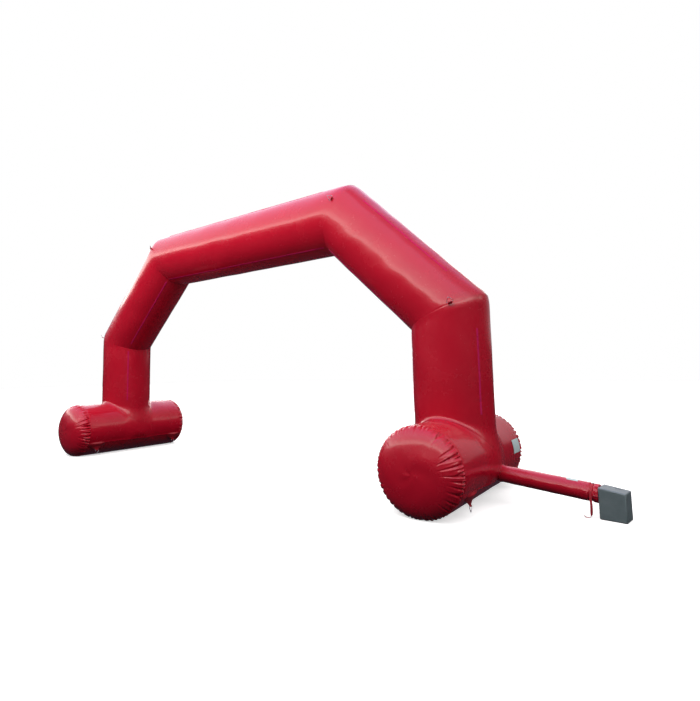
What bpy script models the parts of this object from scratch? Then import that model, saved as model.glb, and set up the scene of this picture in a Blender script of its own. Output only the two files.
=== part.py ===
"""Inflatable event arch: five tubes of coated cloth sewn at mitred seams, standing on two bolster
feet with gathered ends, and fed through a tied sleeve by a small blower that stands beside it.

Metres, +Z up. The arch faces -Y. Sizes are worked out about the middle of the span, and everything
is then shifted so that the origin is the middle of the ground that the arch and its blower cover.
"""
import math

import bmesh
import bpy
import numpy as np

# Tubes
TUBE_R = 0.500            # the tubes are one metre across
TUBE_SIDES = 48           # each prism has facets centred on its front and outer lines
LEG_X = 3.74              # leg axis from the middle of the span
KNEE_Z = 2.36             # leg axis meets the slanted tube's axis
SLANT_RUN = 1.60          # the slanted tubes climb at 45 degrees over this run
SHOULDER_X = LEG_X - SLANT_RUN
SHOULDER_Z = KNEE_Z + SLANT_RUN
SEAM_DIP = 0.005          # a sewn seam draws the cloth in by this much
SEAM_HALF = 0.030         # over this length on each side of it
GAP = 0.0003              # clearance between pieces that touch

# Feet
FOOT_R = 0.513
FOOT_SIDES = 64
FLAT_FACETS = 5           # facets that the ground presses flat
FOOT_Z = FOOT_R * math.cos(FLAT_FACETS * math.pi / FOOT_SIDES)
FOOT_HALF = 1.085         # middle of the foot to the rim seam
FLARE_MIN = 0.006         # the leg's skirt spreads over the foot by this much at its sides
FLARE_FRONT = 0.045       # and by this much more at its front and back
SKIRT_RISE = 0.040        # height at which the skirt starts to spread, at the sides
SKIRT_RISE_FRONT = 0.045  # and more at the front and back
SKIRT_STEPS = (0.0, 0.35, 0.65, 0.85)

# Gathered ends of the feet
CAP_BULGE = 0.314
GATHERS = 48
GATHER_GROOVE = 0.014
GATHER_RIDGE = 0.004
CAP_ROWS = ((0.0, 1.0), (8.0, 1.0), (22.0, 0.62), (42.0, 0.18), (68.0, 0.0))  # degrees, gather share

# Sleeve from the right foot to the blower
SLEEVE_START = np.array((4.200, 0.155, 0.340))
SLEEVE_TIE = np.array((5.245, 0.048, 0.258))
SLEEVE_R = 0.101
SLEEVE_SIDES = 32
SLEEVE_SINK = 0.16        # how far it starts inside the foot before it is trimmed
# distance from the tie along the axis, radius, depth of the folds
SLEEVE_ROWS = ((-0.60, 0.101, 0.0), (-0.13, 0.101, 0.0), (-0.070, 0.100, 0.002), (-0.030, 0.099, 0.006),
               (-0.015, 0.089, 0.004), (0.015, 0.088, 0.004), (0.034, 0.093, 0.007))

# Blower
BLOWER_CORNER = np.array((5.307, -0.048))   # its front left corner on the ground
BLOWER_TURN = math.radians(-8.0)
BLOWER_W = 0.262
BLOWER_D = 0.225
BLOWER_H_LEFT = 0.335
BLOWER_H_RIGHT = 0.302
BLOWER_BEVEL = 0.012
VENT_SIZE = (0.072, 0.020, 0.010)           # recess in its top
VENT_PLACE = (0.150, 0.165)                 # from the front left corner

# Tie strap
STRAP_WIDTH = 0.025
STRAP_THICK = 0.0020
STRAP_R = 0.0908          # middle of the first turn's thickness
STRAP_CLIMB = 0.0030      # one turn lies on the next
BUCKLE_SIZE = (0.034, 0.030, 0.006)

# Webbing tabs with their delta rings
SHEET_THICK = 0.0030
WIRE_R = 0.0035
LOOP_R = WIRE_R + 0.0005 + SHEET_THICK / 2
LOOP_HALF = 0.028
RING_HALF = 0.046
RING_DROP = 0.070
RING_BEND = 0.006
WIRE_SIDES = 6
TAB_BASE_HALF = 0.165
CORNER_TAB_LENGTH = 0.042
CORNER_ANGLE = 22.5       # degrees from the tube's front line towards its outer line
CORNER_RING_TURN = 55.0   # degrees that the ring leans out of the seam's plane
# name, side of the arch, outer or inner face of the foot, place along the foot,
# degrees below the horizontal where its welded strip starts and where it leaves the foot, drop
FOOT_TABS = (("foot_left_inner_front", -1, -1, -0.91, 27.0, 34.0, 0.085),
             ("foot_left_inner_back", -1, -1, 0.94, 27.0, 34.0, 0.085),
             ("foot_left_outer_front", -1, 1, -0.91, 27.0, 34.0, 0.085),
             ("foot_left_outer_back", -1, 1, 0.94, 27.0, 34.0, 0.085),
             ("foot_right_inner_front", 1, -1, -0.91, 27.0, 34.0, 0.085),
             ("foot_right_inner_back", 1, -1, 0.94, 27.0, 34.0, 0.085),
             ("foot_right_outer_front", 1, 1, -0.77, 27.0, 34.0, 0.085),
             ("foot_right_outer_back", 1, 1, 0.94, 27.0, 34.0, 0.085))

# Hook tapes for a banner
TAPE_WIDTH = 0.025
TAPE_THICK = 0.0020
TAPE_ANGLE = 60.0
LEG_TAPE = (1.08, 2.125)        # heights above the ground
SLANT_TAPE = (0.24, 1.955)      # from the shoulder, along the tube
BEAM_TAPE_HALF = 1.90

# Labels, left blank
FOOT_LABEL_Y = (0.74, 1.03)
FOOT_LABEL_ANGLE = (-1.0, 19.0)     # degrees above the foot's outer line
SLEEVE_LABEL_T = (-0.255, -0.140)   # from the tie, along the sleeve
SLEEVE_LABEL_ANGLE = (-7.0, 24.0)   # degrees from the top towards the front
LABEL_THICK = 0.0010
PATCH_LIFT = 0.0006

FRONT = np.array((0.0, -1.0, 0.0))
UP = np.array((0.0, 0.0, 1.0))
OUTWARD = np.array((1.0, 0.0, 0.0))
MIRROR = np.array((-1.0, 1.0, 1.0))


def unit(vector):
    return np.asarray(vector, float) / np.linalg.norm(vector)


def blower_point(across, along, height):
    """A point given from the blower's front left corner, in its own turned axes."""
    cosine = math.cos(BLOWER_TURN)
    sine = math.sin(BLOWER_TURN)
    x = BLOWER_CORNER[0] + across * cosine - along * sine
    y = BLOWER_CORNER[1] + across * sine + along * cosine
    return np.array((x, y, height))


# The origin is halfway between the left foot's side and the blower's far edge, where its bevel starts
FAR_RIGHT = blower_point(BLOWER_W, BLOWER_D - BLOWER_BEVEL, 0.0)[0]
FAR_LEFT = -(LEG_X + FOOT_R * math.cos(math.pi / FOOT_SIDES))
SPAN_SHIFT = -(FAR_LEFT + FAR_RIGHT) / 2


def clear_scene():
    for item in list(bpy.data.objects):
        bpy.data.objects.remove(item, do_unlink=True)


def make_material(name, colour, roughness, metallic=0.0):
    material = bpy.data.materials.new(name)
    material.use_nodes = True
    shader = material.node_tree.nodes["Principled BSDF"]
    shader.inputs["Base Color"].default_value = (*colour, 1.0)
    shader.inputs["Roughness"].default_value = roughness
    shader.inputs["Metallic"].default_value = metallic
    material.diffuse_color = (*colour, 1.0)
    return material


def add_solid(name, points, faces, material, smooth=True):
    """One closed solid from its points and faces, with its faces turned outwards."""
    mesh = bpy.data.meshes.new(name)
    mesh.from_pydata([tuple(map(float, p)) for p in points], [], [tuple(map(int, f)) for f in faces])
    shell = bmesh.new()
    shell.from_mesh(mesh)
    bmesh.ops.recalc_face_normals(shell, faces=shell.faces)
    shell.to_mesh(mesh)
    shell.free()
    if smooth:
        mesh.shade_smooth()
        mesh.set_sharp_from_angle(angle=math.radians(35))
    mesh.materials.append(material)
    solid = bpy.data.objects.new(name, mesh)
    solid.parent = bpy.data.objects["arch_origin"]
    bpy.context.scene.collection.objects.link(solid)
    return solid


def ring_faces(count, sides):
    """Quads between one ring of points and the next."""
    faces = []
    for row in range(count - 1):
        for side in range(sides):
            near = row * sides
            far = near + sides
            after = (side + 1) % sides
            faces.append((near + side, near + after, far + after, far + side))
    return faces


def fan(centre, ring_start, sides):
    return [(centre, ring_start + side, ring_start + (side + 1) % sides) for side in range(sides)]


def lofted(rows):
    """Points and faces of a solid through rings of points, closed at both ends by fans."""
    rows = np.asarray(rows)
    count, sides = rows.shape[:2]
    points = np.vstack([rows.reshape(-1, 3), rows[0].mean(axis=0), rows[-1].mean(axis=0)])
    faces = ring_faces(count, sides)
    faces += fan(count * sides, 0, sides)
    faces += fan(count * sides + 1, (count - 1) * sides, sides)
    return points, faces


def corner_angles(sides):
    """Angles of a prism's corners, half a facet off, so that a facet is centred on angle zero."""
    return (np.arange(sides) + 0.5) * 2 * math.pi / sides


def tube_offsets(radius, outer):
    """Corners of the tube's section about its axis, from the front line towards the outer line."""
    angles = corner_angles(TUBE_SIDES)[:, None]
    return radius * (np.cos(angles) * FRONT + np.sin(angles) * outer)


def seam_row(corner, axis, normal, outer, radius, inset):
    """The tube's section where it is cut by a seam's plane, moved by inset along the plane's normal."""
    offsets = tube_offsets(radius, outer)
    along = (inset - offsets @ normal) / (axis @ normal)
    return corner + offsets + along[:, None] * axis


def seam_rows(corner, axis, normal, outer, sign):
    """The two rows at a drawn-in seam: the one at the seam first. sign is 1 at a tube's start."""
    at_seam = seam_row(corner, axis, normal, outer, TUBE_R - SEAM_DIP, sign * GAP / 2)
    beside = seam_row(corner, axis, normal, outer, TUBE_R, sign * SEAM_HALF)
    return [at_seam, beside]


SLANT_DIR = unit((-1.0, 0.0, 1.0))
BEAM_DIR = np.array((-1.0, 0.0, 0.0))
KNEE = np.array((LEG_X, 0.0, KNEE_Z))
SHOULDER = np.array((SHOULDER_X, 0.0, SHOULDER_Z))
SLANT_OUTER = unit((1.0, 0.0, 1.0))
KNEE_NORMAL = unit(UP + SLANT_DIR)
SHOULDER_NORMAL = unit(SLANT_DIR + BEAM_DIR)
SLANT_LENGTH = float(np.linalg.norm(SHOULDER - KNEE))


def slant_rows():
    low = seam_rows(KNEE, SLANT_DIR, KNEE_NORMAL, SLANT_OUTER, 1)
    high = seam_rows(SHOULDER, SLANT_DIR, SHOULDER_NORMAL, SLANT_OUTER, -1)
    return np.array(low + high[::-1])


def beam_rows():
    right = seam_rows(SHOULDER, BEAM_DIR, SHOULDER_NORMAL, UP, 1)
    left = [row * MIRROR for row in right]
    return np.array(right + left[::-1])


def leg_rows():
    """The leg from its knee seam down to a skirt that spreads over the foot, and on into the foot.

    Below the skirt's start each column follows a quadratic curve whose middle control point is
    where the straight tube would meet the foot."""
    angles = corner_angles(TUBE_SIDES)
    front = np.cos(angles) ** 2
    across = np.sin(angles)
    toward = -np.cos(angles)
    centre = np.array((LEG_X, 0.0, 0.0))

    def on_foot(radius):
        x = radius * across
        height = FOOT_Z + np.sqrt(FOOT_R ** 2 - x ** 2)
        return np.stack([x, radius * toward, height], axis=1) + centre

    meet = on_foot(TUBE_R)
    start = meet + (SKIRT_RISE + SKIRT_RISE_FRONT * front)[:, None] * UP
    spread = on_foot(TUBE_R + FLARE_MIN + FLARE_FRONT * front)
    rows = seam_rows(KNEE, UP, KNEE_NORMAL, OUTWARD, -1)
    for step in SKIRT_STEPS:
        curve = (1 - step) ** 2 * start + 2 * step * (1 - step) * meet + step ** 2 * spread
        rows.append(curve)
    inside = rows[-1].copy()
    inside[:, 2] = FOOT_Z + 0.05
    rows.append(inside)
    return np.array(rows)


def flatten_on_ground(points):
    """The ground presses the lowest cloth flat."""
    points = np.array(points)
    points[..., 2] = np.maximum(points[..., 2], 0.0)
    return points


def foot_ring(radius, y):
    """The foot's section. Its lowest facet is level."""
    angles = corner_angles(FOOT_SIDES)
    x = radius * np.sin(angles)
    z = FOOT_Z - radius * np.cos(angles)
    return np.stack([x, np.full_like(x, y), z], axis=1)


def foot_rows(side):
    rows = [foot_ring(FOOT_R - SEAM_DIP, -FOOT_HALF), foot_ring(FOOT_R, SEAM_HALF - FOOT_HALF),
            foot_ring(FOOT_R, FOOT_HALF - SEAM_HALF), foot_ring(FOOT_R - SEAM_DIP, FOOT_HALF)]
    return flatten_on_ground(rows) + np.array((side * LEG_X, 0.0, 0.0))


def cap_solid(side, end, seed):
    """A gathered end: a half ellipsoid whose rim is drawn into uneven pleats.

    Columns alternate between a ridge and a groove. Along the dome a column is moved along the
    dome's normal by its own depth times the row's share, and the pleats fade towards the middle."""
    random = np.random.default_rng(seed)
    widths = random.uniform(0.65, 1.35, GATHERS * 2)
    angles = np.cumsum(widths) / widths.sum() * 2 * math.pi
    depth = np.where(np.arange(GATHERS * 2) % 2 == 0, GATHER_RIDGE, -GATHER_GROOVE)
    depth = depth * random.uniform(0.45, 1.0, GATHERS * 2)
    rows = []
    for degrees, share in CAP_ROWS:
        lift = math.radians(degrees)
        normal = unit((math.cos(lift) / FOOT_R, math.sin(lift) / CAP_BULGE))
        seam = SEAM_DIP if degrees == 0.0 else 0.0
        radius = FOOT_R * math.cos(lift) - seam + depth * share * normal[0]
        out = FOOT_HALF + GAP + CAP_BULGE * math.sin(lift) + depth * share * normal[1]
        if degrees == 0.0:
            out = np.full_like(depth, FOOT_HALF + GAP)
        x = side * LEG_X + radius * np.sin(angles)
        z = FOOT_Z - radius * np.cos(angles)
        rows.append(np.stack([x, end * out, z], axis=1))
    sides = GATHERS * 2
    centre = (side * LEG_X, end * (FOOT_HALF + GAP), FOOT_Z)
    pole = (side * LEG_X, end * (FOOT_HALF + GAP + CAP_BULGE), FOOT_Z)
    points = np.vstack([np.array(rows).reshape(-1, 3), centre, pole])
    faces = ring_faces(len(rows), sides)
    faces += fan(len(rows) * sides, 0, sides)
    faces += fan(len(rows) * sides + 1, (len(rows) - 1) * sides, sides)
    return flatten_on_ground(points), faces


def add_foot_cutter(side):
    """A cutter one clearance larger than the foot, which trims what is sewn to it."""
    grown = FOOT_R + GAP / math.cos(math.pi / FOOT_SIDES)
    shift = np.array((side * LEG_X, 0.0, 0.0))
    points, faces = lofted([foot_ring(grown, -1.0) + shift, foot_ring(grown, 1.0) + shift])
    cutter = add_solid("foot_cutter_left" if side < 0 else "foot_cutter_right", points, faces,
                       bpy.data.materials["red_cloth"], smooth=False)
    cutter.hide_render = True
    cutter.display_type = "WIRE"
    return cutter


def trim(solid, cutter):
    cut = solid.modifiers.new("trim", "BOOLEAN")
    cut.operation = "DIFFERENCE"
    cut.solver = "EXACT"
    cut.object = cutter


def sleeve_frame():
    """The sleeve's axis, its upward direction and its front direction."""
    axis = unit(SLEEVE_TIE - SLEEVE_START)
    up = unit(UP - (UP @ axis) * axis)
    front = np.cross(axis, up)
    if front[1] > 0:
        front = -front
    return axis, up, front


def sleeve_rows():
    """A round sleeve that is drawn in by its tie, and spreads again against the blower's side."""
    axis, up, front = sleeve_frame()
    angles = corner_angles(SLEEVE_SIDES)
    round_section = np.cos(angles)[:, None] * up + np.sin(angles)[:, None] * front
    fold = np.where(np.arange(SLEEVE_SIDES) % 2 == 0, -1.0, 0.0)
    rows = [SLEEVE_START - SLEEVE_SINK * axis + SLEEVE_R * round_section]
    for along, radius, depth in SLEEVE_ROWS:
        rows.append(SLEEVE_TIE + along * axis + (radius + depth * fold)[:, None] * round_section)
    # the last ring lies against the blower's left side
    wall = blower_point(0.0, 0.0, 0.0)
    wall_normal = unit(blower_point(1.0, 0.0, 0.0) - wall)
    last = rows[-1].copy()
    last += (((wall - last) @ wall_normal - GAP) / (axis @ wall_normal))[:, None] * axis
    rows.append(last)
    return np.array(rows)


def blower_solid(name, material):
    corners = []
    for across, height in ((0.0, BLOWER_H_LEFT), (BLOWER_W, BLOWER_H_RIGHT)):
        for along in (0.0, BLOWER_D):
            corners.append(blower_point(across, along, 0.0))
            corners.append(blower_point(across, along, height))
    faces = ((0, 2, 3, 1), (4, 5, 7, 6), (0, 1, 5, 4), (2, 6, 7, 3), (1, 3, 7, 5), (0, 4, 6, 2))
    box = add_solid(name, corners, faces, material)
    rounding = box.modifiers.new("rounding", "BEVEL")
    rounding.width = BLOWER_BEVEL
    rounding.segments = 2
    return box


def add_vent_cutter():
    """A shallow recess in the blower's sloping top."""
    length, width, depth = VENT_SIZE
    across, along = VENT_PLACE
    slope = (BLOWER_H_RIGHT - BLOWER_H_LEFT) / BLOWER_W
    points = []
    for step in (-length / 2, length / 2):
        floor = BLOWER_H_LEFT + slope * (across + step) - depth
        for side in (-width / 2, width / 2):
            for height in (floor, floor + 3 * depth):
                points.append(blower_point(across + step, along + side, height))
    faces = ((0, 2, 3, 1), (4, 5, 7, 6), (0, 1, 5, 4), (2, 6, 7, 3), (1, 3, 7, 5), (0, 4, 6, 2))
    cutter = add_solid("vent_cutter", points, faces, bpy.data.materials["grey_plastic"], smooth=False)
    cutter.hide_render = True
    cutter.display_type = "WIRE"
    return cutter


def ribbon(path, across, thickness, widths):
    """A flat strip: at each point of a path its section is widths wide along the vectors across."""
    path = np.asarray(path)
    tangents = np.gradient(path, axis=0)
    normals = np.cross(tangents, across)
    normals /= np.linalg.norm(normals, axis=1)[:, None]
    half_width = (np.asarray(widths) / 2)[:, None] * across
    half_thick = thickness / 2 * normals
    rows = np.stack([path + half_width + half_thick, path - half_width + half_thick,
                     path - half_width - half_thick, path + half_width - half_thick], axis=1)
    count = len(path)
    points = rows.reshape(-1, 3)
    faces = ring_faces(count, 4)
    faces += [(0, 1, 2, 3), (4 * count - 4, 4 * count - 3, 4 * count - 2, 4 * count - 1)]
    return points, faces


def strap_path():
    """Once round the sleeve from its top over the front, once more to the front, and down.

    The angle runs from the top towards the front. The free end hangs from the front, turns by a
    quarter on its way, and ends in a bend along the ground."""
    axis, up, front = sleeve_frame()
    angles = np.radians(np.linspace(0.0, 450.0, 49))
    radius = STRAP_R + STRAP_CLIMB * angles / (2 * math.pi)
    wound = (SLEEVE_TIE + (radius * np.cos(angles))[:, None] * up
             + (radius * np.sin(angles))[:, None] * front)
    wound_across = np.repeat(axis[None, :], len(angles), axis=0)
    # height above the ground, drift along x, lean along y and turn of the free end
    tail = np.array(((0.215, 0.000, -0.001, 5.0), (0.180, 0.001, -0.003, 15.0),
                     (0.140, 0.003, -0.003, 32.0), (0.100, 0.002, 0.000, 52.0),
                     (0.062, 0.000, 0.003, 70.0), (0.034, -0.002, 0.004, 82.0),
                     (0.017, -0.007, 0.004, 90.0), (0.0065, -0.017, 0.003, 90.0),
                     (0.0025, -0.030, 0.001, 90.0), (0.0032, -0.044, -0.002, 90.0),
                     (0.0100, -0.060, -0.004, 90.0), (0.0210, -0.073, -0.006, 90.0)))
    top = wound[-1]
    hang = np.stack([top[0] + tail[:, 1], top[1] + tail[:, 2], tail[:, 0]], axis=1)
    turn = np.radians(tail[:, 3])[:, None]
    hang_across = np.cos(turn) * OUTWARD - np.sin(turn) * FRONT
    return np.vstack([wound, hang]), np.vstack([wound_across, hang_across])


def sheet_with_loop(line, widths, origin, along, side, across):
    """A sheet that follows a line and ends in a hem rolled round a ring's bar.

    line holds points (along, side) in the plane across the sheet. The last one is where the hem
    starts. The hem turns by 300 degrees round a centre at the side. Returns the solid and the
    centre of the hem."""
    line = np.asarray(line, float)
    turns = np.radians(np.linspace(30.0, 300.0, 10))
    end = line[-1]
    hem = np.stack([end[0] + LOOP_R * np.sin(turns), end[1] + LOOP_R * (1 - np.cos(turns))], axis=1)
    flat = np.vstack([line, hem])
    widths = np.concatenate([widths, np.full(len(hem), 2 * LOOP_HALF)])
    path = origin + flat[:, :1] * along + flat[:, 1:] * side
    points, faces = ribbon(path, np.repeat(across[None, :], len(path), axis=0), SHEET_THICK, widths)
    return points, faces, origin + end[0] * along + (end[1] + LOOP_R) * side


def ring_corner(corner, before, after, bend):
    """Three points of the round bend at one corner of the ring."""
    arriving = unit(np.subtract(corner, before))
    leaving = unit(np.subtract(after, corner))
    turn = math.acos(float(np.clip(arriving @ leaving, -1, 1)))
    reach = bend * math.tan(turn / 2)
    inward = unit(leaving - arriving)
    start = corner - reach * arriving
    centre = corner + bend / math.cos(turn / 2) * inward
    middle = centre - bend * inward
    return [start, middle, corner + reach * leaving]


def ring_solid(centre, bar, drop):
    """A delta ring of round wire: a bar through the hem, and two sides that meet at a point."""
    corners = [np.array((-RING_HALF, 0.0)), np.array((RING_HALF, 0.0)), np.array((0.0, RING_DROP))]
    flat = []
    for index in range(3):
        flat += ring_corner(corners[index], corners[index - 1], corners[(index + 1) % 3], RING_BEND)
    flat = np.array(flat)
    before = flat - np.roll(flat, 1, axis=0)
    after = np.roll(flat, -1, axis=0) - flat
    before /= np.linalg.norm(before, axis=1)[:, None]
    after /= np.linalg.norm(after, axis=1)[:, None]
    tangent = before + after
    tangent /= np.linalg.norm(tangent, axis=1)[:, None]
    mitre = 1 / np.sum(tangent * after, axis=1)
    sideways = np.stack([-tangent[:, 1], tangent[:, 0]], axis=1)
    normal = np.cross(bar, drop)
    angles = corner_angles(WIRE_SIDES)
    rows = []
    for place, side, stretch in zip(flat, sideways, mitre):
        spot = centre + place[0] * bar + place[1] * drop
        lean = side[0] * bar + side[1] * drop
        rows.append(spot + WIRE_R * (stretch * np.cos(angles)[:, None] * lean
                                     + np.sin(angles)[:, None] * normal))
    rows = np.array(rows)
    count = len(rows)
    faces = ring_faces(count, WIRE_SIDES)
    last = (count - 1) * WIRE_SIDES
    for side in range(WIRE_SIDES):
        after_side = (side + 1) % WIRE_SIDES
        faces.append((last + side, last + after_side, after_side, side))
    return rows.reshape(-1, 3), faces


def foot_tab(side, face, y, start, leave, drop):
    """A welded strip on the foot's lower side that leaves it and hangs, narrowing to its hem."""
    outward = OUTWARD * side * face
    radius = FOOT_R + PATCH_LIFT + SHEET_THICK / 2
    angles = np.radians(np.linspace(start, leave, 5))
    strip = np.stack([radius * np.sin(angles), radius * np.cos(angles)], axis=1)
    falls = drop * np.array((0.14, 0.41, 0.70, 1.0))
    hang = np.stack([strip[-1, 0] + falls, strip[-1, 1] + 0.004 * falls / drop], axis=1)
    share = 1 - falls / drop
    widths = np.concatenate([np.full(5, 2 * TAB_BASE_HALF) * (0.90, 0.95, 1.0, 1.0, 0.98),
                             2 * (LOOP_HALF + (TAB_BASE_HALF * 0.95 - LOOP_HALF) * share ** 1.6)])
    origin = np.array((side * LEG_X, y, FOOT_Z))
    across = np.array((0.0, 1.0, 0.0))
    return sheet_with_loop(np.vstack([strip, hang]), widths, origin, -UP, outward, across)


def seam_spot(row):
    """Middle, direction along the seam and outward direction of the facet at CORNER_ANGLE."""
    index = round(CORNER_ANGLE / 360 * TUBE_SIDES)
    first = row[index - 1]
    second = row[index]
    middle = (first + second) / 2
    tangent = unit(second - first)
    centre = row.mean(axis=0)
    outward = middle - centre
    outward = unit(outward - (outward @ tangent) * tangent)
    return middle, tangent, outward


def corner_tab(row, normal):
    """A tab sewn into a mitred seam, standing out of it in the seam's plane."""
    middle, tangent, outward = seam_spot(row)
    reach = np.linspace(0.0009, CORNER_TAB_LENGTH, 4)
    line = np.stack([reach, np.zeros(4)], axis=1)
    widths = np.full(4, 2 * LOOP_HALF)
    origin = middle - normal * GAP / 2
    solid = sheet_with_loop(line, widths, origin, outward, normal, tangent)
    lean = math.radians(CORNER_RING_TURN)
    drop = math.cos(lean) * outward + math.sin(lean) * normal
    return solid, tangent, drop


def tape_solid(start, axis, outer, angle, first, last):
    """A flat strip on the facet centred at angle, from first to last along the tube."""
    out = math.cos(math.radians(angle)) * FRONT + math.sin(math.radians(angle)) * outer
    across = unit(np.cross(axis, out))
    level = TUBE_R * math.cos(math.pi / TUBE_SIDES) + GAP + TAPE_THICK / 2
    path = np.array([start + level * out + t * axis for t in (first, last)])
    return ribbon(path, np.repeat(across[None, :], 2, axis=0), TAPE_THICK, np.full(2, TAPE_WIDTH))


def curved_patch(origin, axis, zero, side, radius, along, angles):
    """A thin label that follows a round surface, from zero towards side."""
    sweep = np.radians(np.linspace(angles[0], angles[1], 9))
    middle = radius + PATCH_LIFT + LABEL_THICK / 2
    path = origin + middle * (np.cos(sweep)[:, None] * zero + np.sin(sweep)[:, None] * side)
    path = path + (along[0] + along[1]) / 2 * axis
    width = np.full(len(path), along[1] - along[0])
    return ribbon(path, np.repeat(axis[None, :], len(path), axis=0), LABEL_THICK, width)


def add_pair(name, points, faces, material):
    """The same piece on the right and, mirrored, on the left."""
    right = add_solid(name + "_right", points, faces, material)
    left = add_solid(name + "_left", np.asarray(points) * MIRROR, faces, material)
    return left, right


def build_tubes(cloth):
    add_pair("slant", *lofted(slant_rows()), cloth)
    add_solid("top_beam", *lofted(beam_rows()), cloth)
    legs = add_pair("leg", *lofted(leg_rows()), cloth)
    for side, leg in zip((-1, 1), legs):
        trim(leg, add_foot_cutter(side))


def build_feet(cloth):
    for side, word in ((-1, "left"), (1, "right")):
        add_solid("foot_" + word, *lofted(foot_rows(side)), cloth)
        for end, place in ((-1, "front"), (1, "back")):
            seed = 10 + 2 * side + end
            add_solid("cap_" + word + "_" + place, *cap_solid(side, end, seed), cloth)


def build_blower(cloth, plastic, webbing, steel):
    sleeve = add_solid("sleeve", *lofted(sleeve_rows()), cloth)
    trim(sleeve, bpy.data.objects["foot_cutter_right"])
    box = blower_solid("blower", plastic)
    trim(box, add_vent_cutter())
    path, across = strap_path()
    add_solid("strap", *ribbon(path, across, STRAP_THICK, np.full(len(path), STRAP_WIDTH)), webbing)
    axis, up, front = sleeve_frame()
    level = STRAP_R + STRAP_CLIMB + STRAP_THICK / 2 + 2 * GAP + BUCKLE_SIZE[2] / 2
    middle = SLEEVE_TIE + level * up
    path = [middle - BUCKLE_SIZE[1] / 2 * front, middle + BUCKLE_SIZE[1] / 2 * front]
    across = np.repeat(axis[None, :], 2, axis=0)
    add_solid("strap_buckle", *ribbon(path, across, BUCKLE_SIZE[2], np.full(2, BUCKLE_SIZE[0])), steel)


def build_tabs(webbing, steel):
    for name, side, face, y, start, leave, drop in FOOT_TABS:
        points, faces, centre = foot_tab(side, face, y, start, leave, drop)
        add_solid("tab_" + name, points, faces, webbing)
        add_solid("ring_" + name, *ring_solid(centre, np.array((0.0, 1.0, 0.0)), -UP), steel)
    knee_row = slant_rows()[0]
    shoulder_row = slant_rows()[-1]
    for place, row, normal in (("knee", knee_row, KNEE_NORMAL), ("shoulder", shoulder_row, SHOULDER_NORMAL)):
        (points, faces, centre), bar, drop = corner_tab(row, normal)
        add_pair("tab_" + place, points, faces, webbing)
        add_pair("ring_" + place, *ring_solid(centre, bar, drop), steel)


def build_tapes(tape):
    for word, angle in (("outer", TAPE_ANGLE), ("inner", -TAPE_ANGLE)):
        leg = tape_solid(np.array((LEG_X, 0.0, 0.0)), UP, OUTWARD, angle, *LEG_TAPE)
        add_pair("tape_leg_" + word, *leg, tape)
        slant = tape_solid(SHOULDER, -SLANT_DIR, SLANT_OUTER, angle, *SLANT_TAPE)
        add_pair("tape_slant_" + word, *slant, tape)
        beam = tape_solid(np.array((0.0, 0.0, SHOULDER_Z)), OUTWARD, UP, angle,
                          -BEAM_TAPE_HALF, BEAM_TAPE_HALF)
        add_solid("tape_beam_" + word, *beam, tape)


def build_labels(paper):
    y_axis = np.array((0.0, 1.0, 0.0))
    foot = curved_patch(np.array((LEG_X, 0.0, FOOT_Z)), y_axis, OUTWARD, UP, FOOT_R,
                        FOOT_LABEL_Y, FOOT_LABEL_ANGLE)
    add_solid("label_foot", *foot, paper)
    axis, up, front = sleeve_frame()
    sleeve = curved_patch(SLEEVE_TIE, axis, up, front, SLEEVE_R, SLEEVE_LABEL_T, SLEEVE_LABEL_ANGLE)
    add_solid("label_sleeve", *sleeve, paper)


def build_arch():
    clear_scene()
    origin = bpy.data.objects.new("arch_origin", None)
    origin.location = (SPAN_SHIFT, 0.0, 0.0)
    bpy.context.scene.collection.objects.link(origin)
    cloth = make_material("red_cloth", (0.42, 0.008, 0.018), 0.28)
    webbing = make_material("red_webbing", (0.36, 0.010, 0.020), 0.60)
    tape = make_material("magenta_tape", (0.50, 0.010, 0.080), 0.85)
    steel = make_material("steel_wire", (0.60, 0.62, 0.64), 0.30, 1.0)
    plastic = make_material("grey_plastic", (0.105, 0.125, 0.135), 0.55)
    paper = make_material("blank_label", (0.42, 0.55, 0.60), 0.60)
    build_tubes(cloth)
    build_feet(cloth)
    build_blower(cloth, plastic, webbing, steel)
    build_tabs(webbing, steel)
    build_tapes(tape)
    build_labels(paper)


build_arch()
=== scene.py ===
# %% [markdown]
# # An inflatable event arch
#
# The arch is five fat tubes of glossy coated cloth, sewn to each other at mitred seams, on two
# bolster feet with gathered ends. A grey blower feeds it through a tied sleeve. We start with the
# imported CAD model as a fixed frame, because its solids say where each sewn piece goes.

# %% Frame
import math

import bmesh
import bpy
import numpy as np
from mathutils import Matrix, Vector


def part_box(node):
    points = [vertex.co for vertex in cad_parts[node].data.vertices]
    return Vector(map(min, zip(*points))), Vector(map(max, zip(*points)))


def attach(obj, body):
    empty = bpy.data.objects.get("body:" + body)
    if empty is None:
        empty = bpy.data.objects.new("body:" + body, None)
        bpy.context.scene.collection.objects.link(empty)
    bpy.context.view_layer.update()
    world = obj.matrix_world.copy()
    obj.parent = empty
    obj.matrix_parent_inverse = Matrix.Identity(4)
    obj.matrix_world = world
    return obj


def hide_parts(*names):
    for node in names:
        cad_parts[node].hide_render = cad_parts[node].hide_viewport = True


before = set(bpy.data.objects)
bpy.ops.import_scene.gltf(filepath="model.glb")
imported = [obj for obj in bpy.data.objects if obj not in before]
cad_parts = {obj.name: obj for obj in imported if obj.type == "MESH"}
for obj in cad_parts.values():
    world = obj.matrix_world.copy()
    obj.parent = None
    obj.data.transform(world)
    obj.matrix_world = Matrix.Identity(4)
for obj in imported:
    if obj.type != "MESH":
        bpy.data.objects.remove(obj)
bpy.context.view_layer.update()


# %% [markdown]
# ## Sizes
#
# The frame holds no names for its sizes, so the values that shaped the solids are written again
# here. The middle of the span is halfway between the two feet, which the frame can tell us.

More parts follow.
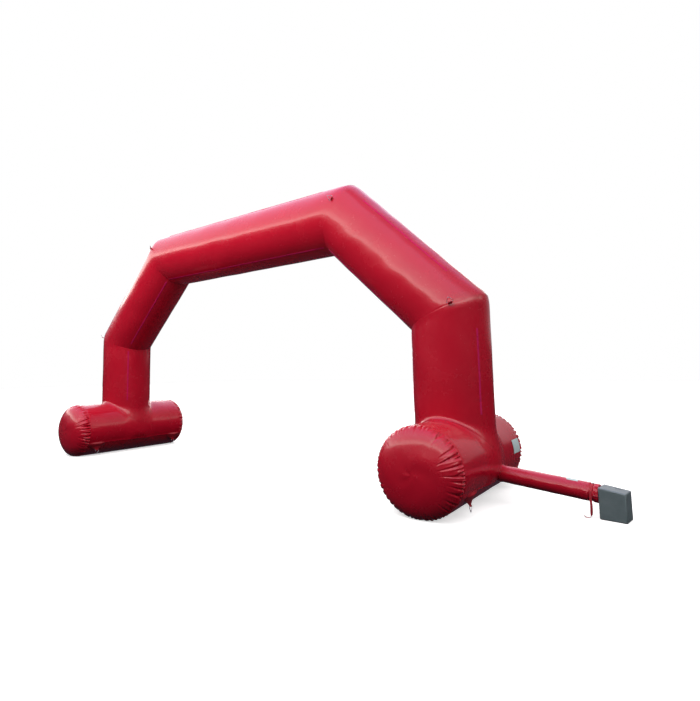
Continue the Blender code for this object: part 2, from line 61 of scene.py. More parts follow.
# %% Sizes of the tubes and feet
left_low, left_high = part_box("foot_left")
right_low, right_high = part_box("foot_right")
MIDDLE = (left_low[0] + left_high[0] + right_low[0] + right_high[0]) / 4
LEG_X = (right_low[0] + right_high[0]) / 2 - MIDDLE

TUBE_R = 0.500
KNEE_Z = 2.36
SLANT_RUN = 1.60
FOOT_R = 0.513
FOOT_Z = FOOT_R * math.cos(5 * math.pi / 64)
FOOT_HALF = 1.085
CAP_BULGE = 0.280
MITRE_DIP = 0.0012
CORNER_REACH = 0.12
RIM_DIP = 0.005

FRONT = np.array((0.0, -1.0, 0.0))
BACK = np.array((0.0, 1.0, 0.0))
UP = np.array((0.0, 0.0, 1.0))
RIGHT = np.array((1.0, 0.0, 0.0))
SHIFT = np.array((MIDDLE, 0.0, 0.0))
SIDES = ((-1, "left"), (1, "right"))


def unit(vector):
    """The vector divided by its length. Works on one vector or on a whole array of them."""
    vector = np.asarray(vector, float)
    return vector / np.linalg.norm(vector, axis=-1, keepdims=True)


print(f"span {2 * LEG_X:.2f} m between the legs, middle at x = {MIDDLE:.3f}")

# %% [markdown]
# ## Camera
#
# The photographer stood outside the right leg, at eye level, and looked across the front. The
# numbers come from fitting straight cylinders to the outlines of the tubes. The principal point is
# off the middle of the picture, so the lens is shifted by the same amount.

# %% Camera
CAMERA_AT = np.array((6.1524 + MIDDLE, -6.2829, 1.6159))
YAW = 0.66033
PITCH = 0.10199
ROLL = -0.01427
FOCAL_PIXELS = 489.32
PRINCIPAL = (302.62, 322.31)
FRAME_SIZE = (700, 701)
SENSOR = 36.0


def add_camera():
    """A camera from yaw, pitch and roll: its columns are right, up and backwards."""
    forward = np.array((-math.sin(YAW) * math.cos(PITCH), math.cos(YAW) * math.cos(PITCH), math.sin(PITCH)))
    level_right = np.array((math.cos(YAW), math.sin(YAW), 0.0))
    level_up = np.cross(level_right, forward)
    right = math.cos(ROLL) * level_right + math.sin(ROLL) * level_up
    up = -math.sin(ROLL) * level_right + math.cos(ROLL) * level_up
    lens = bpy.data.cameras.new("camera")
    lens.sensor_fit = "HORIZONTAL"
    lens.sensor_width = SENSOR
    lens.lens = FOCAL_PIXELS * SENSOR / FRAME_SIZE[0]
    lens.shift_x = (FRAME_SIZE[0] / 2 - PRINCIPAL[0]) / FRAME_SIZE[0]
    lens.shift_y = (PRINCIPAL[1] - FRAME_SIZE[1] / 2) / FRAME_SIZE[0]
    lens.clip_end = 200.0
    camera = bpy.data.objects.new("camera", lens)
    bpy.context.scene.collection.objects.link(camera)
    matrix = np.eye(4)
    matrix[:3, :3] = np.stack([right, up, -forward], axis=1)
    matrix[:3, 3] = CAMERA_AT
    camera.matrix_world = Matrix(matrix.tolist())
    bpy.context.scene.camera = camera
    return lens


lens = add_camera()
print(f"lens {lens.lens:.1f} mm, shift {lens.shift_x:.3f}, {lens.shift_y:.3f}")

# %% [markdown]
# ## Materials
#
# Every finish is made of nodes. Patterns read Object coordinates, which are metres in this frame,
# so a number such as 3 mm means the same on every piece. Small helpers keep the cells short: each
# adds one kind of node and joins it up.

# %% Helpers for materials


class Finish:
    """A node material. Each method adds one node and returns the socket that carries its result."""

    def __init__(self, name, colour, roughness, **settings):
        self.material = bpy.data.materials.new(name)
        self.material.use_nodes = True
        self.nodes = self.material.node_tree.nodes
        self.links = self.material.node_tree.links
        self.shader = self.nodes["Principled BSDF"]
        self.set("Base Color", (*colour, 1.0))
        self.set("Roughness", roughness)
        for socket, value in settings.items():
            self.set(socket.replace("_", " "), value)
        self.material.diffuse_color = (*colour, 1.0)
        self.place = self.add("ShaderNodeTexCoord").outputs["Object"]

    def set(self, socket, value):
        """A constant on the shader, or a link when the value is another node's socket."""
        self.feed(self.shader.inputs[socket], value)

    def add(self, kind, **inputs):
        node = self.nodes.new(kind)
        for name, value in inputs.items():
            self.feed(node.inputs[name.replace("_", " ")], value)
        return node

    def feed(self, socket, value):
        if isinstance(value, bpy.types.NodeSocket):
            self.links.new(value, socket)
        else:
            socket.default_value = value

    def stretched(self, scale, place=None):
        """Coordinates multiplied by a scale along each axis."""
        return self.add("ShaderNodeMapping", Vector=place or self.place, Scale=scale).outputs["Vector"]

    def noise(self, scale, detail=2.0, place=None, rough=0.5):
        node = self.add("ShaderNodeTexNoise", Vector=place or self.place, Scale=scale, Detail=detail,
                        Roughness=rough)
        return node.outputs["Fac"]

    def ramp(self, value, *stops):
        """A colour ramp through (position, colour) pairs. A colour may be one grey level."""
        node = self.add("ShaderNodeValToRGB", Fac=value)
        marks = node.color_ramp.elements
        while len(marks) < len(stops):
            marks.new(1.0)
        for mark, (position, colour) in zip(marks, stops):
            mark.position = position
            mark.color = (*((colour,) * 3 if isinstance(colour, (int, float)) else colour), 1.0)
        return node.outputs["Color"]

    def math(self, operation, first, second=0.0):
        node = self.nodes.new("ShaderNodeMath")
        node.operation = operation
        self.feed(node.inputs[0], first)
        self.feed(node.inputs[1], second)
        return node.outputs[0]

    def between(self, share, first, second, blend="MIX"):
        """Mixes two colours by a share."""
        node = self.nodes.new("ShaderNodeMix")
        node.data_type = "RGBA"
        node.blend_type = blend
        self.feed(node.inputs[0], share)
        self.feed(node.inputs[6], first)
        self.feed(node.inputs[7], second)
        return node.outputs[2]

    def bump(self, height, distance, strength=1.0, normal=None):
        node = self.add("ShaderNodeBump", Height=height, Distance=distance, Strength=strength)
        if normal is not None:
            self.feed(node.inputs["Normal"], normal)
        return node.outputs["Normal"]


# %% [markdown]
# ### Coated cloth
#
# The tubes are polyester cloth with a glossy red coating. From a few metres it looks like wet
# paint: a saturated red with a clear mirror layer, which picks up a band of sky. Close to, the
# threads show through as a fine grid, and handling leaves faint creases and dull scuffs. A
# Principled shader with a coat gives the two layers.

# %% Red cloth


def make_red_cloth():
    """Glossy red coated cloth. Height is a thread grid plus soft creases."""
    cloth = Finish("red_coated_cloth", (0.50, 0.0045, 0.016), 0.26, IOR=1.5, Coat_Weight=0.45,
                   Coat_Roughness=0.08, Coat_IOR=1.5)
    broad = cloth.noise(0.9, 3.0)
    colour = cloth.ramp(broad, (0.30, (0.48, 0.0028, 0.0190)), (0.70, (0.53, 0.0036, 0.0215)))
    dust = cloth.ramp(cloth.noise(5.0, 6.0, rough=0.62), (0.52, 0.0), (0.80, 1.0))
    colour = cloth.between(cloth.math("MULTIPLY", dust, 0.02), colour, (0.52, 0.030, 0.045, 1.0))
    cloth.set("Base Color", colour)
    scuffs = cloth.noise(2.3, 8.0, rough=0.68)
    cloth.set("Roughness", cloth.ramp(scuffs, (0.35, 0.22), (0.75, 0.32)))
    x, y, z = cloth.add("ShaderNodeSeparateXYZ", Vector=cloth.place).outputs
    threads = [cloth.math("SINE", cloth.math("MULTIPLY", axis, 2 * math.pi / 0.0022)) for axis in (x, y, z)]
    weave = cloth.math("ADD", cloth.math("ADD", threads[0], threads[1]), threads[2])
    normal = cloth.bump(weave, 0.00004, 0.5)
    creases = cloth.ramp(cloth.noise(7.0, 4.0, rough=0.55), (0.40, 0.0), (0.52, 1.0), (0.64, 0.0))
    normal = cloth.bump(creases, 0.0006, 0.12, normal)
    cloth.set("Normal", normal)
    return cloth.material


red_cloth = make_red_cloth()
print("material:", red_cloth.name)

# %% [markdown]
# ### Webbing, hook tape, steel, plastic and labels
#
# The tie and the tabs are a duller red, woven across with a fine rib. The hook tape is a matte
# magenta nap that swallows light. The rings are bright drawn wire. The blower is moulded grey
# plastic with a fine grain. The labels are pale printed cloth, left blank.

# %% Other finishes


def make_webbing():
    """Dull red webbing with a rib across its length, read from the piece's own UV map."""
    web = Finish("red_webbing_ribbed", (0.44, 0.006, 0.022), 0.55, Sheen_Weight=0.25, Sheen_Roughness=0.4)
    along = web.add("ShaderNodeUVMap").outputs["UV"]
    u, v, _ = web.add("ShaderNodeSeparateXYZ", Vector=along).outputs
    rib = web.math("SINE", web.math("MULTIPLY", v, 2 * math.pi / 0.0024))
    yarn = web.math("SINE", web.math("MULTIPLY", u, 2 * math.pi / 0.0017))
    shade = web.noise(60.0, 3.0)
    web.set("Base Color", web.ramp(shade, (0.30, (0.36, 0.004, 0.016)), (0.70, (0.52, 0.010, 0.030))))
    web.set("Normal", web.bump(web.math("ADD", rib, web.math("MULTIPLY", yarn, 0.5)), 0.0002, 0.6))
    return web.material


def make_tab_cloth():
    """The coated cloth of the tabs, duller where the weld has flattened it."""
    tab = Finish("red_tab_cloth", (0.36, 0.008, 0.020), 0.34, Coat_Weight=0.4, Coat_Roughness=0.2)
    wear = tab.noise(40.0, 4.0)
    tab.set("Base Color", tab.ramp(wear, (0.30, (0.30, 0.006, 0.016)), (0.75, (0.44, 0.014, 0.030))))
    tab.set("Normal", tab.bump(tab.noise(220.0, 2.0), 0.0004, 0.4))
    return tab.material


def make_hook_tape():
    """Matte magenta nap: tiny loops as high noise, which also varies its colour a little."""
    tape = Finish("magenta_hook_nap", (0.52, 0.006, 0.095), 0.90, Specular_IOR_Level=0.2)
    nap = tape.noise(900.0, 3.0)
    tape.set("Base Color", tape.ramp(nap, (0.25, (0.44, 0.004, 0.075)), (0.75, (0.62, 0.009, 0.118))))
    tape.set("Normal", tape.bump(nap, 0.0008, 0.7))
    return tape.material


def make_steel():
    """Bright drawn steel wire with faint lengthwise scratches."""
    steel = Finish("bright_steel_wire", (0.62, 0.63, 0.65), 0.24, Metallic=1.0)
    scratch = steel.noise(500.0, 4.0, steel.stretched((1.0, 0.2, 1.0)))
    steel.set("Roughness", steel.ramp(scratch, (0.3, 0.18), (0.7, 0.36)))
    return steel.material


def make_plastic():
    """Moulded blue-grey plastic: fine grain, and pale rubbing in broad patches."""
    plastic = Finish("grey_moulded_plastic", (0.12, 0.17, 0.18), 0.44, IOR=1.6, Coat_Weight=0.6,
                     Coat_Roughness=0.30)
    rubbed = plastic.noise(9.0, 6.0, rough=0.62)
    colour = plastic.ramp(rubbed, (0.35, (0.108, 0.155, 0.165)), (0.80, (0.145, 0.195, 0.205)))
    plastic.set("Base Color", colour)
    plastic.set("Roughness", plastic.ramp(plastic.noise(30.0, 3.0), (0.3, 0.40), (0.7, 0.58)))
    plastic.set("Normal", plastic.bump(plastic.noise(700.0, 2.0), 0.0002, 0.5))
    return plastic.material


def make_label():
    """Pale blue-grey printed cloth with faint random stains, left blank."""
    label = Finish("blank_label_cloth", (0.45, 0.56, 0.53), 0.55)
    stain = label.noise(26.0, 4.0)
    label.set("Base Color", label.ramp(stain, (0.30, (0.50, 0.62, 0.63)), (0.75, (0.60, 0.72, 0.73))))
    label.set("Normal", label.bump(label.noise(600.0, 2.0), 0.0002, 0.4))
    return label.material


webbing = make_webbing()
tab_cloth = make_tab_cloth()
hook_tape = make_hook_tape()
steel_wire = make_steel()
grey_plastic = make_plastic()
blank_label = make_label()
print("materials:", len(bpy.data.materials))

# %% [markdown]
# ## Surfaces from grids
#
# A cloth tube is a function of two parameters, its angle and its distance along. We compute all
# the points as one array, rows by columns, and hand them to the mesh in one call. Closed ends are
# one more point each. That is quicker than adding vertices one by one, and the shape stays a
# formula that can be read.

# %% A mesh from a grid of points


def grid_faces(rows, columns, closed):
    """Four corner numbers for each cell of a grid. closed joins the last column to the first."""
    across = np.arange(columns if closed else columns - 1)
    row, side = np.meshgrid(np.arange(rows - 1), across, indexing="ij")
    after = (side + 1) % columns
    corners = np.stack([row * columns + side, row * columns + after,
                        (row + 1) * columns + after, (row + 1) * columns + side], axis=-1)
    return corners.reshape(-1, 4)


def end_fan(centre, start, columns):
    """Triangles from one middle point to a closed ring."""
    side = np.arange(columns)
    return np.stack([np.full(columns, centre), start + side, start + (side + 1) % columns], axis=-1)


def turn_outwards(mesh):
    """Makes the faces of a closed mesh point outwards."""
    shell = bmesh.new()
    shell.from_mesh(mesh)
    bmesh.ops.recalc_face_normals(shell, faces=shell.faces)
    shell.to_mesh(mesh)
    shell.free()


def finish_piece(name, mesh, material, nodes, smooth_angle=50.0):
    """Links the mesh as a piece that rides on the root body, and names what it replaces."""
    turn_outwards(mesh)
    mesh.shade_smooth()
    mesh.set_sharp_from_angle(angle=math.radians(smooth_angle))
    mesh.materials.append(material)
    piece = bpy.data.objects.new(name, mesh)
    bpy.context.scene.collection.objects.link(piece)
    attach(piece, "root")
    if nodes:
        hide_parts(*nodes)
    return piece


def grid_mesh(name, grid, uv=None):
    """A closed mesh from rings of points: quads between rings, and a fan at each end."""
    rows, columns = grid.shape[:2]
    points = np.vstack([grid.reshape(-1, 3), grid[0].mean(axis=0), grid[-1].mean(axis=0)]) + SHIFT
    quads = grid_faces(rows, columns, True)
    ends = np.vstack([end_fan(rows * columns, 0, columns),
                      end_fan(rows * columns + 1, (rows - 1) * columns, columns)])
    mesh = bpy.data.meshes.new(name)
    mesh.from_pydata(points.tolist(), [], quads.tolist() + ends.tolist())
    if uv is not None:
        layer = mesh.uv_layers.new(name="UVMap")
        corners = np.zeros(len(mesh.loops), dtype=np.int32)
        mesh.loops.foreach_get("vertex_index", corners)
        flat = np.vstack([uv.reshape(-1, 2), uv[0].mean(axis=0), uv[-1].mean(axis=0)])
        layer.data.foreach_set("uv", flat[corners].astype(np.float32).ravel())
    return mesh


def add_cloth(name, grid, node):
    """A piece of the red cloth, wholly filled with air."""
    piece = finish_piece(name, grid_mesh(name, grid), red_cloth, [node])


# %% [markdown]
# ## How the cloth lies
#
# Air makes the tubes nearly perfect, so what tells the eye that this is cloth is small: shallow
# waves where a panel is a little slack, a drawn-in line at each sewn seam with short puckers beside
# it, and a ladder of puckers where a stiff hook tape holds the cloth back. Each of these is a
# height added along the surface's outward direction, in metres.

# %% Relief of the cloth


def smooth_step(value, low, high):
    """0 below low, 1 above high, and 3t^2 - 2t^3 between."""
    share = np.clip((value - low) / (high - low), 0.0, 1.0)
    return share * share * (3 - 2 * share)


def slack(angle, along, seed, height=0.0016, waves=7):
    """Shallow waves: a sum of cosines with whole numbers of turns round the tube, so that they
    close on themselves, and lengths of 0.35 to 1.3 m along it."""
    random = np.random.default_rng(seed)
    turns = random.integers(1, 7, waves)
    lengths = random.uniform(0.35, 1.3, waves) * random.choice((-1, 1), waves)
    phases = random.uniform(0, 2 * math.pi, waves)
    total = 0.0
    for turn, length, phase in zip(turns, lengths, phases):
        total = total + np.cos(turn * angle + 2 * math.pi * along / length + phase)
    return height * total / math.sqrt(waves)


def pleat_line(place, count, seed, sharp=1.6):
    """Uneven pleats along a closed line: place runs from 0 to 1. Each valley is narrow, with the
    profile -(1 - |sin|) ** sharp, and wanders by a few slow waves."""
    random = np.random.default_rng(seed)
    drift = 0.0
    for order in (1, 2, 3, 5, 8):
        size = random.normal(0, 0.9 / count)
        drift = drift + size * np.sin(2 * math.pi * (order * place + random.random()))
    depth = 0.75 + 0.25 * np.sin(2 * math.pi * (3 * place + random.random())) \
        * np.sin(2 * math.pi * (7 * place + random.random()))
    return -depth * (1 - np.abs(np.sin(math.pi * count * (place + drift)))) ** sharp


def seam_relief(angle, distance, seed):
    """Height beside a mitred seam at a distance from it: a faint drawn-in line, a corner rounded off
    outside and filled inside, because the cloth can't hold a sharp edge, and puckers, deepest at
    the inner corner. A height of 0.207 L sin(angle) (1 - distance / L) ** 2 makes both tubes level
    at a bend of 45 degrees. It is less at the very top, and gone at the inner corner."""
    line = -MITRE_DIP * np.exp(-(distance / 0.012) ** 2)
    sine = np.sin(angle)
    share = np.where(sine > 0, 1 - 0.48 * smooth_step(sine, 0.5, 1.0), 1 - smooth_step(-sine, 0.30, 0.75))
    corner = -0.207 * CORNER_REACH * sine * share * np.clip(1 - distance / CORNER_REACH, 0, 1) ** 2
    inner = smooth_step(-sine, 0.35, 0.98)
    rise = distance / 0.05 * np.exp(1 - distance / 0.05)
    pucker = (0.0010 + 0.0060 * inner) * rise * pleat_line(angle / (2 * math.pi) % 1.0, 58, seed)
    return line + corner + pucker


def tape_relief(angle, along, centre, span, seed):
    """Puckers beside a hook tape at an angle: narrow valleys across the tape, about 5 cm apart,
    deepest at its edges, and gone 12 cm away and beyond its ends."""
    arc = np.abs((angle - centre + math.pi) % (2 * math.pi) - math.pi) * TUBE_R
    window = np.exp(-np.clip(arc - 0.012, 0, None) / 0.045)
    ends = smooth_step(along, span[0] - 0.05, span[0] + 0.06)
    ends = ends * smooth_step(-along, -span[1] - 0.05, 0.06 - span[1])
    random = np.random.default_rng(seed)
    wander = sum(random.normal(0, 0.016) * np.sin(2 * math.pi * along / length + random.random() * 6)
                 for length in (0.31, 0.47, 0.83))
    beat = 0.6 + 0.4 * np.sin(2 * math.pi * along / 0.37 + random.random() * 6)
    valley = (1 - np.abs(np.sin(math.pi * (along + wander) / 0.052))) ** 1.5
    return (0.0012 - 0.0042 * valley * beat) * window * ends


# %% [markdown]
# ## Tubes between mitred seams
#
# At a mitre both tubes are cut by the plane halfway between them. A column of the tube, at one
# angle, runs from the first plane to the second. Its ends are where the straight line at that
# angle pierces the planes, so the seam comes out exactly, whatever the bend. Rows are closer near
# the seams, where the relief is fine.

# %% Tube surfaces
COLUMNS = 224
TUBE_ROWS = 176
TAPE_ANGLE = math.radians(60.0)
KNEE = np.array((LEG_X, 0.0, KNEE_Z))
SHOULDER = np.array((LEG_X - SLANT_RUN, 0.0, KNEE_Z + SLANT_RUN))
MIRROR = np.array((-1.0, 1.0, 1.0))


class Tube:
    """A straight tube from one corner to another, cut by a plane at each end.

    place(angle, along) gives points: the axis point plus TUBE_R + relief times the direction
    cos(angle) * front + sin(angle) * outer. swell is how much the air widens it at each end."""

    def __init__(self, start, end, outer, cut_start, cut_end, tapes, seed, swell):
        self.start = start
        self.axis = unit(end - start)
        self.length = float(np.linalg.norm(end - start))
        self.outer = outer
        self.cut_start = cut_start
        self.cut_end = cut_end
        self.tapes = tapes
        self.seed = seed
        self.swell = swell

    def out(self, angle):
        return np.cos(angle)[..., None] * FRONT + np.sin(angle)[..., None] * self.outer

    def limits(self, angle):
        """Where the line at an angle pierces the two seam planes: -(offset . normal) / (axis . normal)."""
        out = self.out(angle)
        first = -(TUBE_R + self.swell[0]) * (out @ self.cut_start) / (self.axis @ self.cut_start)
        last = self.length - (TUBE_R + self.swell[1]) * (out @ self.cut_end) / (self.axis @ self.cut_end)
        return first, last

    def relief(self, angle, along):
        first, last = self.limits(angle)
        height = slack(angle, along, self.seed)
        height = height * smooth_step(np.minimum(along - first, last - along), 0.0, 0.20)
        spread = smooth_step(along - first, 0.0, last - first)
        height = height + self.swell[0] + (self.swell[1] - self.swell[0]) * spread
        height = height + seam_relief(angle, along - first, self.seed + 1)
        height = height + seam_relief(angle, last - along, self.seed + 2)
        for number, (centre, span) in enumerate(self.tapes):
            height = height + tape_relief(angle, along, centre, span, self.seed + 3 + number)
        return height

    def place(self, angle, along, lift=0.0):
        radius = TUBE_R + self.relief(angle, along) + lift
        return self.start + along[..., None] * self.axis + radius[..., None] * self.out(angle)

    def grid(self):
        angle = (np.arange(COLUMNS) + 0.5) * 2 * math.pi / COLUMNS
        first, last = self.limits(angle)
        share = np.linspace(0, 1, TUBE_ROWS)
        share = share - 0.11 * np.sin(2 * math.pi * share)
        along = first + (last - first) * share[:, None]
        return self.place(np.broadcast_to(angle, along.shape), along)


SWELL = 0.012
SLANT_TAPE = (0.24, 1.955)
BEAM_TAPE = (SHOULDER[0] - 1.90, SHOULDER[0] + 1.90)


def both_tapes(span):
    return [(TAPE_ANGLE, span), (-TAPE_ANGLE, span)]


def slant_tube(side, seed):
    """From the shoulder down to the knee. side is 1 on the right and -1 on the left."""
    flip = np.array((side, 1.0, 1.0))
    down = unit((1.0, 0.0, -1.0)) * flip
    shoulder_cut = unit(unit((1.0, 0.0, -1.0)) + RIGHT) * flip
    knee_cut = unit(unit((1.0, 0.0, -1.0)) - UP) * flip
    return Tube(SHOULDER * flip, KNEE * flip, unit((1.0, 0.0, 1.0)) * flip, shoulder_cut, knee_cut,
                both_tapes(SLANT_TAPE), seed, (SWELL, 0.0))


def beam_tube(seed):
    """From the right shoulder to the left one."""
    cut = unit(RIGHT + unit((1.0, 0.0, -1.0)))
    return Tube(SHOULDER, SHOULDER * MIRROR, UP, cut, cut * MIRROR, both_tapes(BEAM_TAPE), seed,
                (SWELL, SWELL))


slants = {"left": slant_tube(-1, 40), "right": slant_tube(1, 50)}
beam = beam_tube(60)
for word, tube in slants.items():
    add_cloth("slanted_tube_" + word, tube.grid(), "slant_" + word)
add_cloth("beam_tube", beam.grid(), "top_beam")
print("tubes between mitres:", TUBE_ROWS, "x", COLUMNS, "points each")

# %% [markdown]
# ## Where a leg meets its foot
#
# A leg is sewn round the top of its foot, like a saddle. Where it crosses the foot's crest, front
# and back, the cloth turns in a narrow hollow. On the two flanks the leg and the foot run nearly
# side by side, and the air pushes both out into one broad bulge. Both are the rounded union of two
# cylinders: near the joint each surface is lifted by k/4 (1 - gap / k)^2, where gap is how much
# farther away the other surface is, and k is the reach of the rounding at that angle.

# %% Joint of leg and foot
JOINT_CREST = 0.070
JOINT_FLANK = 0.150
SETTLE_STEPS = 14
LEG_ROWS = 190
LEG_SEED = 70
LEG_TAPE = (1.08, 2.125)


def joint_reach(sine):
    """Reach of the rounding: short at the crest and long on the flanks. sine is that of the angle
    round the leg, measured from the front."""
    return JOINT_CREST + (JOINT_FLANK - JOINT_CREST) * smooth_step(sine ** 2, 0.25, 0.95)


def rounded_lift(far, lift, reach):
    return reach / 4 * np.clip(1 - (far - lift) / reach, 0, 1) ** 2


def leg_radius(angle, z):
    """TUBE_R and the joint's lift at a height. The lift moves the point it depends on, so we repeat
    until it settles."""
    reach = joint_reach(np.sin(angle))
    lift = np.zeros(np.broadcast(angle, z).shape)
    for _ in range(SETTLE_STEPS):
        to_foot = np.hypot((TUBE_R + lift) * np.sin(angle), z - FOOT_Z) - FOOT_R
        lift = rounded_lift(to_foot, lift, reach)
    return TUBE_R + lift


def joint_height(angle, depth=0.0):
    """Height of the sewn joint, where both surfaces are lifted by a quarter of the reach."""
    quarter = joint_reach(np.sin(angle)) / 4
    across = (TUBE_R + quarter - depth) * np.sin(angle)
    return FOOT_Z + np.sqrt((FOOT_R + quarter - depth) ** 2 - across ** 2)


def foot_lift(angle, along):
    """The same lift on the foot, at an angle from its top and a place along it. The ground holds
    the cloth back below the equator."""
    lift = np.zeros(np.broadcast(angle, along).shape)
    for _ in range(SETTLE_STEPS):
        x = (FOOT_R + lift) * np.sin(angle)
        from_leg = np.hypot(x, along)
        reach = joint_reach(x / np.maximum(from_leg, 1e-6))
        lift = rounded_lift(from_leg - TUBE_R, lift, reach)
    return lift * smooth_step(FOOT_Z + (FOOT_R + lift) * np.cos(angle), 0.06, 0.46)


def knee_height(angle):
    """Where the straight line at an angle pierces the plane of the knee seam."""
    cut = unit(UP + unit((-1.0, 0.0, 1.0)))
    return KNEE_Z - TUBE_R * np.sin(angle) * cut[0] / cut[2]


def leg_relief(angle, z, seed):
    """Slack, puckers and the ridge of the joint's weld, 2 mm proud."""
    top = knee_height(angle)
    low = joint_height(angle)
    height = slack(angle, z, seed) * smooth_step(np.minimum(top - z, z - low), 0.0, 0.2)
    height = height + seam_relief(angle, np.maximum(top - z, 0), seed + 1)
    for number, centre in enumerate((TAPE_ANGLE, -TAPE_ANGLE)):
        height = height + tape_relief(angle, z, centre, LEG_TAPE, seed + 3 + number)
    crest = 1 - smooth_step(np.sin(angle) ** 2, 0.35, 0.80)
    return height + 0.0020 * crest * np.exp(-((z - low) / 0.010) ** 4)


def leg_point(angle, z, seed, lift=0.0):
    """The leg's surface about its own axis, with x outwards."""
    radius = leg_radius(angle, z) + leg_relief(angle, z, seed) + lift
    spot = (radius * np.sin(angle), -radius * np.cos(angle), np.broadcast_to(z, radius.shape))
    return np.stack(spot, axis=-1)


def leg_grid(seed):
    """Rows from the knee seam down to the joint, then two rings that turn in under the foot's cloth."""
    angle = (np.arange(COLUMNS) + 0.5) * 2 * math.pi / COLUMNS
    share = np.linspace(0, 1, LEG_ROWS)
    share = share - 0.10 * np.sin(2 * math.pi * share)
    top = knee_height(angle)
    z = top + (joint_height(angle) - top) * share[:, None]
    rows = leg_point(np.broadcast_to(angle, z.shape), z, seed)
    out = np.stack([np.sin(angle), -np.cos(angle), np.zeros(COLUMNS)], axis=-1)
    under = rows[-1] - 0.004 * out - 0.012 * UP
    inside = 0.44 * out + joint_height(angle, 0.060)[:, None] * UP
    return np.concatenate([rows, under[None], inside[None]])


def set_out(grid, side, end=1):
    """Mirrors a grid to its side and end of the arch, and moves it to its leg's place."""
    return grid * np.array((side, end, 1)) + np.array((side * LEG_X, 0, 0))


for side, word in SIDES:
    add_cloth("upright_leg_" + word, set_out(leg_grid(LEG_SEED + 10 * side), side), "leg_" + word)
print("legs:", LEG_ROWS + 2, "rows each")

# %% [markdown]
# ## Bolster feet
#
# A foot is one cylinder along the ground, lifted beside the leg. The ground presses its lowest cloth
# flat, and each rim is drawn in where the gathered end is sewn on, with short puckers that run back
# from the seam. A flat welded hem runs along each lower side, and the anchoring tabs hang from it.

# %% Feet
FOOT_ROWS = 132
FOOT_SEED = 90
HEM_ANGLE = math.radians(117.0)


def foot_relief(angle, along, seed):
    """angle runs from the top of the foot towards its outer side, along from back to front."""
    rim = FOOT_HALF - np.abs(along)
    place = angle / (2 * math.pi) % 1.0
    height = slack(angle, along, seed) * smooth_step(rim, 0.0, 0.15)
    height = height - RIM_DIP * np.exp(-(rim / 0.016) ** 2)
    rise = rim / 0.035 * np.exp(1 - rim / 0.035)
    height = height + 0.0052 * rise * pleat_line(place + 0.02 * np.sign(along), 56, seed + 1)
    for hem in (HEM_ANGLE, -HEM_ANGLE):
        arc = ((angle - hem + math.pi) % (2 * math.pi) - math.pi) * FOOT_R
        height = height + 0.0090 * np.exp(-(arc / 0.012) ** 4) * smooth_step(rim, 0.02, 0.06)
    return height


def foot_grid(seed):
    angle = (np.arange(COLUMNS) + 0.5) * 2 * math.pi / COLUMNS
    share = np.linspace(-1, 1, FOOT_ROWS)
    along = (share + 0.11 * np.sin(math.pi * share)) * FOOT_HALF
    along, angle = np.meshgrid(along, angle, indexing="ij")
    radius = FOOT_R + foot_lift(angle, along) + foot_relief(angle, along, seed)
    grid = np.stack([radius * np.sin(angle), along, FOOT_Z + radius * np.cos(angle)], axis=-1)
    grid[..., 2] = np.maximum(grid[..., 2], 0.0)
    return grid


for side, word in SIDES:
    add_cloth("bolster_" + word, set_out(foot_grid(FOOT_SEED + 10 * side), side), "foot_" + word)
print("feet: hems at", round(math.degrees(HEM_ANGLE)), "degrees from the top")

# %% [markdown]
# ## Gathered ends
#
# Each end of a foot is a flat disc of cloth, larger than the rim that it is sewn to. Its spare
# width is taken up in pleats, and air bulges the rest into a dome with a flat middle. The dome is
# a superellipse, which is flatter in front and rounder at the rim than an ellipse. A pleat is a
# narrow valley between two swollen lips. It starts just past the seam, which stays a true circle,
# and fades towards the middle. Long deep pleats alternate unevenly with short fine ones.

# %% Gathered ends
CAP_COLUMNS = 420
CAP_ROWS = 54
CAP_POWER = 2.5
CAP_SEED = 200
CAP_FLATTER = 0.058
CAP_PULL_AT = 84
CAP_PULL = {"left": 0.70, "right": 0.45}


def cap_profile(share, depth):
    """Radius and bulge from rim to middle: R cos(t) ** (2/n) and B sin(t) ** (2/n)."""
    turn = share * math.pi / 2
    radius = FOOT_R * np.cos(turn) ** (2 / CAP_POWER)
    bulge = depth * np.sin(turn) ** (2 / CAP_POWER)
    return radius, bulge


def valleys(angle, reach, random, count, deep, wide, long, pull):
    """Sum of pleats at uneven places. reach is the distance in metres along the dome from the
    rim. The profile across one, at u widths from its middle, is
    -exp(-|u| ** 1.4) + 0.32 exp(-((|u| - 1.7) / 0.7) ** 2)."""
    gaps = random.uniform(0.55, 1.45, count)
    middle = np.cumsum(gaps) / gaps.sum() * 2 * math.pi
    strength = 1 + pull[1] * np.exp(-(((middle - pull[0] + math.pi) % (2 * math.pi) - math.pi) / 0.60) ** 2)
    depth = random.uniform(0.45, 1.0, count) * deep * strength
    width = random.uniform(0.7, 1.1, count) * wide / FOOT_R
    length = random.uniform(0.6, 1.3, count) * long * strength
    lean = random.normal(0, 0.22, count)
    total = 0.0
    for place, drop, half, run, slope in zip(middle, depth, width, length, lean):
        share = np.clip(reach / run, 0, 1)
        away = np.abs((angle - place - slope * reach + math.pi) % (2 * math.pi) - math.pi)
        away = away / (half * (1.1 - 0.3 * share))
        profile = -np.exp(-away ** 1.4) + 0.32 * np.exp(-((away - 1.7) / 0.7) ** 2)
        total = total + drop * profile * (1 - share) ** 1.2 * smooth_step(reach, -0.004, 0.030)
    return total


